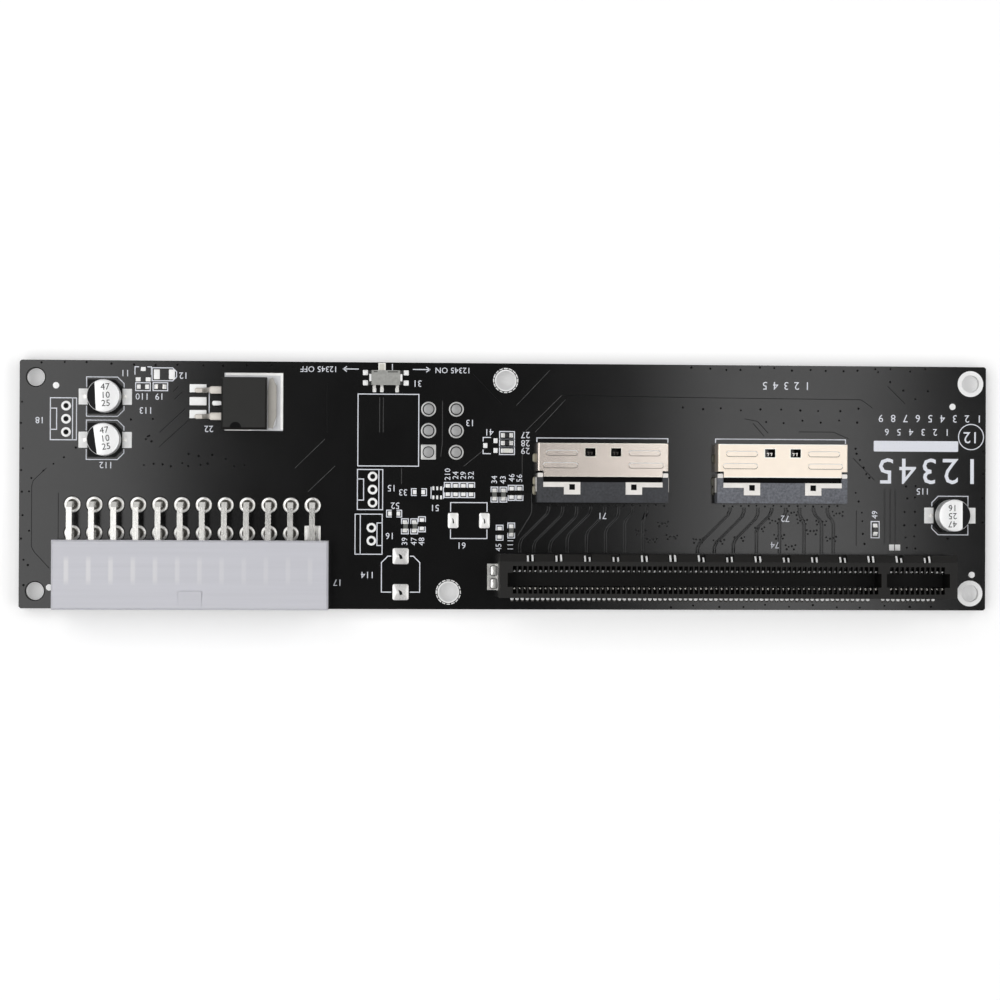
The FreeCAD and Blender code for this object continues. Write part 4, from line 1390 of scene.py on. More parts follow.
@dataclass
class Board:
    """Board surface: plated rings, pads, vias and traces.

    A ring is given as its bore and rim, a strip as its width and height, and a heap of solder as the
    heights of its shoulders and its ridge.
    """

    stamps: Stamps
    sweeps: Sweeps
    footprints: list[Footprint]
    soldered: list[Footprint]
    plate: float = 0.045
    lining: float = 0.03
    hole_inset: Point = (3.1, 3.35)
    middle_hole_columns: Point = (-0.5, -11.5)
    middle_ring: Point = (1.9, 2.12)
    right_ring: Point = (1.75, 2.55)
    left_edge: Point = (1.74, 0.18)
    bead: Point = (0.2, 0.74)
    bead_ring: float = 2.34
    bead_count: int = 16
    dot: float = 0.62
    dot_places: tuple[Point, ...] = ((-87.34, 19.08), (87.64, 16.13), (91.59, -16.97), (-88.47, -19.96))
    spare_ring: Point = (0.5, 0.94)
    filled_columns: Point = (-15.5, -10.1)
    filled_rows: Triple = (14.97, 10.79, 6.6)
    filled_ring: Point = (1.14, 1.46)
    filled_square: float = 2.9
    fill: float = 0.97
    heap: Point = (0.12, 0.42)
    via: float = 0.21
    gap: Point = (0.11, 0.02)
    trace: Point = (0.26, 0.03)
    trace_corner: float = 1.4
    fan_pitch: float = 2.75
    fan_half_pair: float = 0.22
    fan_rows: Point = (-3.9, -12.9)
    fan_bend: float = -5.0
    fan_stagger: float = 0.35
    under_trace: Point = (0.3, 0.06)
    under_start: Point = (-60.0, -20.0)
    under_pitch: float = 9.0
    under_count: int = 13
    under_shift: float = 10.0
    under_bend: float = -12.0
    under_end: float = 19.0

    def hole_pairs(self) -> list[Line]:
        """Fixing holes.

        Returns:
            The left, middle and right pair, each with its rear hole first.
        """
        x, y = (BOARD_CORNER[i] - self.hole_inset[i] for i in range(2))
        columns = ((-x, -x), self.middle_hole_columns, (x, x))
        return [[(rear, y), (front, -y)] for rear, front in columns]

    def plated_holes(self, name: str, places: Line, ring: Point) -> None:
        """Rings on both faces of the board, joined by a lined wall.

        Args:
            name: Name of the piece.
            places: Middles of the holes.
            ring: Radius of the bore and of the rim.
        """
        bore, rim = ring
        wall = bore - self.lining
        low, high = -self.plate, BOARD_TOP + self.plate
        profile = [(wall, low), (rim, low), (rim, 0.0), (bore, 0.0), (bore, BOARD_TOP), (rim, BOARD_TOP),
                   (rim, high), (wall, high)]
        shape = Shape()
        for place in places:
            shape.lathe(place, profile, 40)
        shape.lay(name, PALE_TIN, "tin")

    def rings(self) -> None:
        """Plated rings of the middle and right holes, and the aiming dots."""
        left, middle, right = self.hole_pairs()
        self.plated_holes("middle_hole_rings", middle, self.middle_ring)
        bead = Shape().pillow(ORIGIN, self.bead, 0, height=0.05, corner=0.08, crown=0.04)
        beads: list[Place] = []
        for x, y in middle:
            for i in range(self.bead_count):
                angle = 2 * math.pi * i / self.bead_count
                u, v = self.bead_ring * math.cos(angle), self.bead_ring * math.sin(angle)
                beads.append((x + u, y + v, BOARD_TOP, angle))
        self.stamps.lay("middle_hole_beads", bead, beads, PALE_TIN, "tin", spread=0.12, seed=3)
        self.stamps.lay("left_hole_edges", groove(*self.left_edge), flat(left), DIMPLE, "solder_mask")
        self.plated_holes("right_hole_rings", right, self.right_ring)
        profile = [(0, 0), (self.dot, 0), (self.dot, 0.03), (self.dot - 0.07, 0.045), (0, 0.05)]
        dots = Shape()
        for place in self.dot_places:
            dots.lathe(place, [(radius, BOARD_TOP + rise) for radius, rise in profile], 20)
        dots.lay("aiming_dots", PALE_TIN, "tin")

    def spare_holes(self) -> None:
        """Ringed holes of the pin rows, with painted shade in their mouths, and the filled pads of the
        large connector.
        """
        holes = flat(hole for place in self.footprints for hole in place.holes())
        ring = collar(*self.spare_ring, height=0.07, outer=(0.06, 0.025), steps=24)
        self.stamps.lay("spare_hole_pads", ring, holes, PALE_TIN, "tin")
        # Dark discs in the hole mouths are painted shade.
        mouth = self.spare_ring[0] + 0.02
        mouth_shade = Shape().lathe(ORIGIN, [(0, 0), (mouth, 0), (mouth, 0.02), (0, 0.02)], 16)
        self.stamps.lay("spare_hole_mouths", mouth_shade, holes, DIMPLE, "solder_mask")
        filled = [(x, y) for x in self.filled_columns for y in self.filled_rows]
        square = (self.filled_columns[0], self.filled_rows[-1])
        rounds = [place for place in filled if place != square]
        rim = collar(*self.filled_ring, height=0.11, outer=(0.08, 0.06), inner=(0.06, 0.05))
        self.stamps.lay("spare_pad_rings", rim, flat(rounds), RING_TIN, "tin", spread=0.02, seed=5)
        edge = groove(self.fill - 0.01, 0.18)
        self.stamps.lay("spare_pad_grooves", edge, flat(filled, BOARD_TOP + 0.1), MASK_GAP, "solder_mask")
        size = (self.filled_square, self.filled_square)
        corner = Shape().pillow(square, size, BOARD_TOP, height=0.1, corner=0.15)
        corner.lay("spare_square_pad", RING_TIN, "tin")
        fill = Shape().lathe(ORIGIN, [(0, 0), (self.fill, 0), (self.fill, 0.1), (self.fill - 0.12, 0.16),
                                      (0.4, 0.19), (0, 0.2)])
        self.stamps.lay("spare_pad_fills", fill, flat(filled), AGED_SOLDER, "tin", spread=0.03, seed=4)

    def pads(self) -> None:
        """Flat pads of every place and the thick solder of the large empty ones, with painted shade in its
        ridges.
        """
        pad_shape(self.footprints, 0.03).lay("plain_pads", PALE_TIN, "tin")
        crease_shades = Shape()
        for place, name, finish in zip(self.soldered, ("can", "coil"), (WORN_SOLDER, BRIGHT_SOLDER)):
            heavy = Shape()
            for pad in place.pads():
                heavy.gable(pad.centre, pad.size, BOARD_TOP, *self.heap)
                self.crease(crease_shades, pad)
            heavy.lay(f"spare_{name}_pads", finish, "tin")
        # Dark prisms in the solder ridges are painted shade.
        crease_shades.lay("solder_creases", DIMPLE, "tin")

    def crease(self, shape: Shape, pad: Pad) -> None:
        """Painted shade of a dent in the ridge of a soldered pad, wider on a wide pad.

        Args:
            shape: Shape that takes it in.
            pad: The pad.
        """
        x, y = pad.centre
        wide = 0.045 * pad.size[0] ** 2
        outline = [(x - wide, y + 0.5), (x - 0.3 * wide, y - 0.6), (x + wide, y - 0.45),
                   (x + 0.4 * wide, y + 0.2)]
        shape.prism(outline, BOARD_TOP, BOARD_TOP + self.heap[1] + 0.03)

    def vias(self) -> None:
        """Small dimples where the lacquer closes a via, on both faces."""
        dimple = Shape().lathe(ORIGIN, [(0, -SKIN), (self.via, -SKIN), (self.via, SKIN), (0, SKIN / 2)], 9)
        singles = [place for described in VIA_ROWS for place in row(*described)]
        singles += [(x, y) for x in VIA_GRID[0] for y in VIA_GRID[1]]
        groups = [(x + u, y + v) for x, y in GROUP_MIDDLES for u, v in VIA_GROUP]
        groups += [place for described in SOCKET_VIA_ROWS for place in row(*described)]
        for name, level in (("top", BOARD_TOP), ("under", 0.0)):
            self.stamps.lay(f"via_dimples_{name}", dimple, flat(singles, level), DIMPLE, "solder_mask",
                            spread=0.15, seed=11, jitter=0.35)
            self.stamps.lay(f"via_groups_{name}", dimple, flat(groups, level), SOFT_DIMPLE, "solder_mask",
                            spread=0.15, seed=12, jitter=0.1)

    def fan(self, first: float, shifts: Sequence[float]) -> list[Line]:
        """Pairs of traces from one cable socket to the slot.

        Args:
            first: X of the first pair at the socket.
            shifts: How far each pair moves along X on its way.

        Returns:
            Two paths for each pair.
        """
        start, end = self.fan_rows
        paths = []
        for number, shift in enumerate(shifts):
            bend = self.fan_bend - self.fan_stagger * (number % 3)
            for side in (-self.fan_half_pair, self.fan_half_pair):
                x = first + self.fan_pitch * number + side
                paths.append([(x, start), (x, bend), (x + shift, bend - abs(shift)), (x + shift, end)])
        return paths

    def under_paths(self) -> list[Line]:
        """Traces on the underside, which slant halfway.

        Returns:
            Their paths.
        """
        paths = []
        for number, (x, start) in enumerate(row(self.under_start, (self.under_pitch, 0), self.under_count)):
            bend, shift = self.under_bend + number, self.under_shift
            paths.append([(x, start), (x, bend), (x + shift, bend + shift), (x + shift, self.under_end)])
        return paths

    def traces(self) -> None:
        """Copper under the lacquer, the gaps between copper areas and painted highlights on some copper
        edges.
        """
        copper = SINGLE_TRACES + [path for described in FANS for path in self.fan(*described)]
        self.sweeps.lay("copper_gaps", COPPER_GAPS, BOARD_TOP, *self.gap, MASK_GAP, "solder_mask")
        self.sweeps.lay("copper_edges", LIT_EDGES, BOARD_TOP, *self.gap, LIT_EDGE, "solder_mask")
        self.sweeps.lay("copper_traces", copper, BOARD_TOP, *self.trace, MASK_COPPER, "solder_mask",
                        self.trace_corner)
        self.sweeps.lay("copper_traces_under", self.under_paths(), 0.0, *self.under_trace, MASK_COPPER,
                        "solder_mask")

    def dress(self) -> None:
        """Build every piece of the board's surface."""
        self.rings()
        self.spare_holes()
        self.pads()
        self.vias()
        self.traces()


@dataclass
class PowerHeader:
    """Solder around the bent pins of the power header."""

    stamps: Stamps
    pin: float = 1.07
    pitch: float = 4.2
    columns: int = 12
    rim: float = 1.55
    well: float = 0.98

    def places(self) -> Line:
        """Points where the pins meet the board.

        Returns:
            The upper row, then the lower one.
        """
        half = self.pin / 2
        first, upper = box_of("power_header_upper_pins")
        _, lower = box_of("power_header_lower_pins")
        starts = [(first.x + half, high.y - half) for high in (upper, lower)]
        return [place for start in starts for place in row(start, (self.pitch, 0), self.columns)]

    def dress(self) -> None:
        """Pads and wells on top, cones of solder below."""
        places = self.places()
        *rounds, last = places
        rim, well = self.rim, self.well
        ring = collar(well, rim, height=0.14, outer=(0.12, 0.08), inner=(0.1, 0.09))
        self.stamps.lay("header_pad_rings", ring, flat(rounds), TIN, "tin", spread=0.02, seed=21)
        self.stamps.lay("header_pad_grooves", groove(rim + 0.02), flat(rounds), MASK_GAP, "solder_mask")
        square = Shape().pillow(last, (2 * rim, 2 * rim), BOARD_TOP, height=0.1, corner=0.15)
        square.lay("header_square_pad", TIN, "tin")
        bowl = Shape().lathe(ORIGIN, [(0, 0), (well, 0), (well, 0.06), (0.72, 0.03), (0.6, 0.16), (0, 0.2)])
        self.stamps.lay("header_solder_wells", bowl, flat(places), SOLDER, "tin", spread=0.02, seed=22)
        cone = Shape().lathe(ORIGIN, [(0, -1.25), (0.62, -1.2), (0.8, -0.75), (1.15, -0.3), (1.6, -0.06),
                                      (1.6, 0), (0, 0)])
        self.stamps.lay("header_solder_cones", cone, flat(places, 0.0), TIN, "tin", spread=0.04, seed=23)


@dataclass
class CardSlot:
    """Soldered feet, painted glints at the contact ends, window contacts in pale tin for their glints, and
    hold-down bumps ringed by painted shade, of the card-edge slot.
    """

    stamps: Stamps
    counts: tuple[int, int] = (71, 11)
    pitch: float = 1.0
    contact: float = 0.5
    foot: float = 0.74
    foot_gap: float = 0.36
    half_top: float = 3.5
    tip: Point = (0.42, 0.32)
    tip_drop: float = 1.05
    tip_inset: float = 0.12
    tip_turn: float = 0.5
    window_count: int = 15
    window_pitch: float = 5.5
    blade_half: float = 0.17
    blade_place: float = 0.45
    bump: Point = (1.34, 1.82)
    bump_place: Point = (0.22, 1.26)
    bump_crease: Point = (1.5, 2.0)

    def columns(self) -> list[float]:
        """X of every contact.

        Returns:
            The long part's contacts, then those of the short part.
        """
        low, high = box_of("slot_front_contacts")
        long, short = self.counts
        first = low.x + self.contact / 2
        second = high.x - self.contact / 2 - (short - 1) * self.pitch
        return [start + i * self.pitch for start, count in ((first, long), (second, short))
                for i in range(count)]

    def feet(self) -> None:
        """Short soldered feet along the front wall."""
        low, _ = box_of("slot_housing")
        size = (self.foot, self.foot)
        foot = Shape().pillow(ORIGIN, size, 0, height=0.26, corner=0.32, crown=0.14, steps=2)
        places = flat([(x, low.y - self.foot_gap) for x in self.columns()])
        self.stamps.lay("slot_soldered_feet", foot, places, PALE_TIN, "tin", spread=0.08, seed=31)

    def tips(self) -> None:
        """Bright dots at the edges of the mouth, as painted glints on the ends of the contacts."""
        _, top = box_of("slot_housing")
        rear, _ = box_of("slot_rear_contacts")
        _, front = box_of("slot_front_contacts")
        # Painted glints on the ends of the contacts.
        dot = Shape().pillow(ORIGIN, self.tip, -0.1, height=0.2, corner=0.13, crown=0.06, steps=1)
        for name, y, turn, finish, spread, seed in (
                ("rear", rear.y + self.tip_inset, self.tip_turn, PALE_TIN, 0.2, 33),
                ("front", front.y - self.tip_inset, -self.tip_turn, CONTACT, 0.25, 34)):
            places = flat([(x, y) for x in self.columns()], top.z - self.tip_drop, turn)
            self.stamps.lay(f"slot_{name}_tips", dot, places, finish, "contact_metal", spread, seed)

    def windows(self) -> None:
        """Pairs of bent contacts that show in the windows of the rear bevel, in pale tin that paints their
        glints.
        """
        low, high = box_of("slot_housing")
        columns = self.columns()
        middle = (columns[0] + columns[-1]) / 2
        bends = [(3.42, -0.34), (4.0, -0.72), (4.62, -1.42), (4.62, -1.62), (4.0, -0.95), (3.42, -0.55)]
        ends = (-self.blade_half, self.blade_half)
        blade = Shape().loops([[(x, y, z) for y, z in bends] for x in ends])
        pairs = [middle + offset + side for offset in centred(self.window_count, self.window_pitch)
                 for side in (-self.blade_place, self.blade_place)]
        places = flat([(x, low.y + self.half_top) for x in pairs], high.z)
        # Real contacts in shape; their near-white tone is a painted highlight.
        self.stamps.lay("slot_window_contacts", blade, places, PALE_TIN, "contact_metal", spread=0.06,
                        seed=32)

    def hold_down(self) -> None:
        """Two pressed bumps of the hold-down, each ringed by painted shade."""
        _, high = box_of("slot_hold_down")
        x, y = middle_of("slot_hold_down")
        shift, reach = self.bump_place
        x += shift
        bumps = Shape()
        crease_shades = Shape()
        for side in (-reach, reach):
            # Painted shade around each bump.
            crease_shades.pillow((x - 0.05, y + side), self.bump_crease, high.z, SKIN, corner=0.42)
            bumps.pillow((x, y + side), self.bump, high.z, height=0.1, corner=0.4, crown=0.08)
        crease_shades.lay("hold_down_creases", DIMPLE, "tin")
        bumps.lay("hold_down_bumps", TIN, "tin")

    def dress(self) -> None:
        """Build the pieces of the slot."""
        self.feet()
        self.tips()
        self.windows()
        self.hold_down()


@dataclass
class CableSocket:
    """Contact fingers, rib and roof edges with painted highlights and shade, latch prongs, print and solder
    of one cable socket.
    """

    stamps: Stamps
    sweeps: Sweeps
    number: int
    prong_finish: Finish
    solder_finish: Finish
    pitch: float = 0.6
    fingers: int = 37
    finger_half: Point = (0.16, 0.06)
    finger_length: float = 4.6
    finger_setback: float = 3.1
    finger_inset: float = 0.3
    rib_inner: float = 4.85
    rib_width: float = 1.2
    ribs: tuple[Point, Point] = ((6.4, 1.9), (7.0, 4.3))
    rib_height: float = 0.22
    rib_light: Point = (0.13, 0.04)
    rib_shade: Point = (0.11, 0.04)
    window_offset: float = 2.5
    window_setback: float = 1.75
    window_size: Point = (2.0, 1.6)
    edge: float = 0.14
    edge_rise: float = 0.02
    lug: Point = (1.05, 0.82)
    lug_drop: float = 0.35
    clip_hole: float = 1.06
    clip_hole_place: Point = (6.0, 0.95)
    prong_depth: float = 0.9
    prong_places: Point = (-0.32, 0.3)
    prong_section: Point = (0.17, 0.15)
    groove_size: Point = (23.1, 1.05)
    print_half: float = 12.84
    print_shift: float = 0.25
    print_gap: float = 1.1
    print_return: float = 0.8
    print_width: float = 0.2
    leg_columns: Point = (-12.95, 12.6)
    leg_setbacks: Triple = (2.8, 7.3, 9.1)
    lump: Point = (1.0, 1.8)
    lump_under: Point = (1.5, 1.9)

    def __post_init__(self) -> None:
        """Read the place of the shell from the frame."""
        self.name = f"cable_socket_{self.number}"
        self.low, self.high = box_of(f"{self.name}_shell")
        self.centre, _ = middle_of(f"{self.name}_shell")
        self.front = self.high.y
        self.roof = self.high.z
        self.sheet = self.roof - self.rib_height
        self.windows = [(self.centre + side, self.front - self.window_setback)
                        for side in (-self.window_offset, self.window_offset)]

    def contacts(self) -> None:
        """Two rows of contact fingers in the mouth."""
        low, high = box_of(f"{self.name}_contact_wafers")
        wide, thin = self.finger_half
        finger = Shape().box((-wide, -self.finger_length, -thin), (wide, 0.0, thin))
        y = self.front - self.finger_setback
        places: list[Place] = []
        for level in (low.z + self.finger_inset, high.z - self.finger_inset):
            places += flat([(self.centre + x, y) for x in centred(self.fingers, self.pitch)], level)
        self.stamps.lay(f"{self.name}_fingers", finger, places, CONTACT, "contact_metal")

    def rib_edges(self) -> None:
        """Painted highlights and painted shade along the edges of the pressed ribs."""
        light: list[Line] = []
        shade: list[Line] = []
        for length, setback in self.ribs:
            for side in (-1, 1):
                middle = (self.centre + side * (self.rib_inner + length / 2), self.front - setback)
                edge = rounded(middle, (length - 0.3, self.rib_width - 0.2), 0.45)
                half = len(edge) // 2
                light.append(edge[:half])
                shade.append(edge[half:])
        # Strips of painted highlight on one side and painted shade on the other.
        for name, lines, strip, finish in (("lights", light, self.rib_light, PALE_TIN),
                                           ("shades", shade, self.rib_shade, RIB_SHADE)):
            self.sweeps.lay(f"{self.name}_rib_{name}", lines, self.roof, *strip, finish, "shell_steel")

    def edge_lights(self) -> None:
        """Painted highlights along the edges of the roof: the rims of its windows, its front and its rear.
        """
        half = self.edge / 2
        size = (self.window_size[0] / 2 + half, self.window_size[1] / 2 + half)
        lines = [frame_line(window, size) for window in self.windows]
        for inset, y in ((0.4, self.high.y - half), (self.lug[0] + 0.3, self.low.y + half)):
            lines.append([(self.low.x + inset, y), (self.high.x - inset, y)])
        shape = Shape()
        for line in lines:
            shape.stroke(line, self.edge, self.sheet - self.edge_rise, self.sheet + self.edge_rise)
        # A lighter copy of the shell's finish, as painted highlight.
        shell = NODE_FINISHES[f"{self.name}_shell"]
        finish = replace(shell, name=shell.name + "_edge", colour=tint(shell.colour, 1.25))
        shape.lay(f"{self.name}_edge_lights", finish, "shell_steel")

    def lugs(self) -> None:
        """Metal lugs in the rear notches of the shell, and painted shade on the floors of the clip holes.
        """
        _, clip = box_of(f"{self.name}_clips")
        inset = self.lug[0] / 2 + 0.05
        y = self.low.y - 0.1 + self.lug[1] / 2
        lugs = Shape()
        for x in (self.low.x + inset, self.high.x - inset):
            lugs.prism(rounded((x, y), self.lug, 0.15, 2), BOARD_TOP, self.sheet - self.lug_drop)
        lugs.lay(f"{self.name}_side_lugs", SHEET, "sheet_steel")
        # Dark plates in the clip holes are painted shade.
        across, setback = self.clip_hole_place
        holes = Shape()
        for side in (-across, across):
            middle = (self.centre + side, clip.y - setback)
            outline = rounded(middle, (self.clip_hole, self.clip_hole), 0.2, 2)
            holes.prism(outline, clip.z - 0.2, clip.z - 0.1)
        holes.lay(f"{self.name}_clip_holes", DIMPLE, "socket_plastic")

    def prongs(self) -> None:
        """Hooked latch prongs that show in the two windows of the roof."""
        level = self.roof - self.prong_depth
        wide, deep = self.prong_section
        shape = Shape()
        for x, y in [(x + across, y) for x, y in self.windows for across in self.prong_places]:
            shape.stroke([(x - 0.22, y), (x + 0.12, y), (x, y - 0.5)], wide, level - deep, level)
        shape.lay(f"{self.name}_latch_prongs", self.prong_finish, "sheet_steel")

    def groove_shade(self) -> None:
        """Painted shade on the floor of the groove behind the roof."""
        _, body = box_of(f"{self.name}_body")
        length, depth = self.groove_size
        outline = rounded((self.centre, self.low.y - depth / 2), (length, depth - 0.1), 0.1, 2)
        # A dark plate as painted shade in the groove.
        shape = Shape().prism(outline, body.z - 1.3, body.z - 0.9)
        shape.lay(f"{self.name}_groove_floor", DIMPLE, "socket_plastic")

    def outline(self) -> None:
        """Printed line in front of the mouth."""
        middle, y = self.centre + self.print_shift, self.front + self.print_gap
        left, right, back = middle - self.print_half, middle + self.print_half, y - self.print_return
        line = [(left, back), (left, y), (right, y), (right, back)]
        shape = Shape().stroke(line, self.print_width, BOARD_TOP, BOARD_TOP + INK)
        shape.lay(f"{self.name}_print", WHITE_INK)

    def solder(self) -> None:
        """Rounded solder at the legs, on both faces."""
        lump = Shape().pillow(ORIGIN, self.lump, 0, height=0.35, corner=0.45, crown=0.2)
        cone = Shape().pillow(ORIGIN, self.lump_under, -0.32, height=0.32, corner=0.5)
        legs = [(self.centre + x, self.front - setback)
                for x in self.leg_columns for setback in self.leg_setbacks]
        self.stamps.lay(f"{self.name}_leg_solder", lump, flat(legs), self.solder_finish, "tin", spread=0.1,
                        seed=40 + self.number)
        self.stamps.lay(f"{self.name}_leg_solder_under", cone, flat(legs, 0.0), TIN, "tin", spread=0.1,
                        seed=50 + self.number)

    def dress(self) -> None:
        """Build the pieces of this socket."""
        self.contacts()
        self.rib_edges()
        self.edge_lights()
        self.lugs()
        self.prongs()
        self.groove_shade()
        self.outline()
        self.solder()


@dataclass
class Can:
    """One electrolytic capacitor: drawn can, printed segment and numbers."""

    number: int
    side: Side
    rows: tuple[str, str, str]
    lean: float = 0.0
    waist: float = 0.28
    segment: float = 0.5
    print_inset: float = 0.12
    print_height: float = 0.015
    print_shift: float = 0.45
    letter: float = 1.75
    row_places: Triple = (1.65, 0.05, -1.5)

    def dress(self) -> None:
        """Replace the plain can by a drawn one and print its top."""
        node = f"capacitor_{self.number}_can"
        low, high = box_of(node)
        centre = middle_of(node)
        radius = (high.x - low.x) / 2
        foot, top = low.z, high.z
        waist = radius - self.waist
        profile = [(0, foot), (radius - 0.1, foot), (radius, foot + 0.1), (radius, foot + 0.6),
                   (radius - 0.08, foot + 0.75), (waist, foot + 0.95), (waist, foot + 1.05),
                   (radius - 0.08, foot + 1.25), (radius, foot + 1.4), (radius, top - 0.32),
                   (radius - 0.09, top - 0.1), (radius - 0.3, top), (0, top)]
        can = Shape().lathe(centre, profile, 64)
        can.lay(f"capacitor_{self.number}_drawn_can", ALUMINIUM, "can_aluminium", stands_for=(node,))
        self.print_top(centre, radius - self.print_inset, top)

    def print_top(self, centre: Point, radius: float, top: float) -> None:
        """Dark segment and three rows of plain numbers on the can's end.

        Args:
            centre: Middle of the can.
            radius: Radius of the printed segment.
            top: Height of the can's end.
        """
        reach = math.acos(self.segment)
        base = math.pi + self.lean if self.side is Side.LEFT else self.lean
        mark = Shape().prism(arc(centre, radius, base - reach, 2 * reach, 24), top, top + self.print_height)
        turn = Matrix.Rotation(base + math.pi, 4, "Z") @ Matrix.Translation((self.print_shift, 0, 0))
        place = Matrix.Translation((*centre, top)) @ turn
        for text, rise in zip(self.rows, self.row_places):
            mark.write(text, self.letter, self.print_height, place @ Matrix.Translation((0, rise, 0)))
        mark.lay(f"capacitor_{self.number}_print", BLACK_INK)


@dataclass
class SlideSwitch:
    """Pads, bright end tabs and painted shade in the folds of the slide switch, and the border of its knob
    with a painted highlight.
    """

    pad: Point = (1.06, 1.03)
    pad_reach: float = 3.94
    pad_rows: Point = (-0.97, 1.0)
    leg_pad: Point = (0.72, 0.9)
    leg_setback: float = 2.35
    leg_offsets: Triple = (-2.2, -0.75, 2.2)
    tab: Point = (0.5, 1.5)
    tab_reach: float = 2.96
    folds: tuple[Point, Point] = ((-2.35, -1.6), (0.35, 2.35))
    fold_setback: float = 0.3
    fold_width: float = 0.16
    border: float = 0.22
    border_half: float = 0.6
    border_inset: float = 0.12

    def dress(self) -> None:
        """Build the pieces of the switch."""
        _, high = box_of("switch_cover")
        x, y = middle_of("switch_cover")
        pads = Shape()
        for across in (-self.pad_reach, self.pad_reach):
            for along in self.pad_rows:
                place = (x + across, y + along)
                pads.pillow(place, self.pad, BOARD_TOP, height=0.23, corner=0.15, crown=0.05)
        for across in self.leg_offsets:
            place = (x + across, y - self.leg_setback)
            pads.pillow(place, self.leg_pad, BOARD_TOP, height=0.1, corner=0.2, crown=0.06)
        pads.lay("switch_pads", PALE_TIN, "tin")
        tabs = Shape()
        for across in (-self.tab_reach, self.tab_reach):
            tabs.pillow((x + across, y), self.tab, high.z - 0.7, height=0.62, corner=0.12)
        tabs.lay("switch_end_tabs", PALE_TIN, "sheet_steel")
        self.cover_folds(x, high)
        self.knob_border(high.y)

    def cover_folds(self, x: float, high: Vector) -> None:
        """Painted shade in the folds along the rear edge of the cover, beside the knob.

        Args:
            x: Middle of the cover.
            high: Highest corner of the cover.
        """
        shape = Shape()
        for left, right in self.folds:
            middle = (x + (left + right) / 2, high.y - self.fold_setback)
            # Dark strips as painted shade.
            shape.prism(rounded(middle, (right - left, self.fold_width), 0.06, 2), high.z, high.z + SKIN)
        shape.lay("switch_cover_folds", DIMPLE, "sheet_steel")

    def knob_border(self, start: float) -> None:
        """Raised border around the top of the knob, paler than the knob as a painted highlight.

        Args:
            start: Y of the cover's rear edge, where the border begins.
        """
        _, high = box_of("switch_knob")
        x, _ = middle_of("switch_knob")
        left, right, end = x - self.border_half, x + self.border_half, high.y - self.border_inset
        line = [(left, start), (left, end), (right, end), (right, start)]
        shape = Shape().stroke(line, self.border, high.z - 0.05, high.z + 0.04)
        shape.lay("switch_knob_border", CREAM_HIGHLIGHT, "knob_plastic", KNOB)


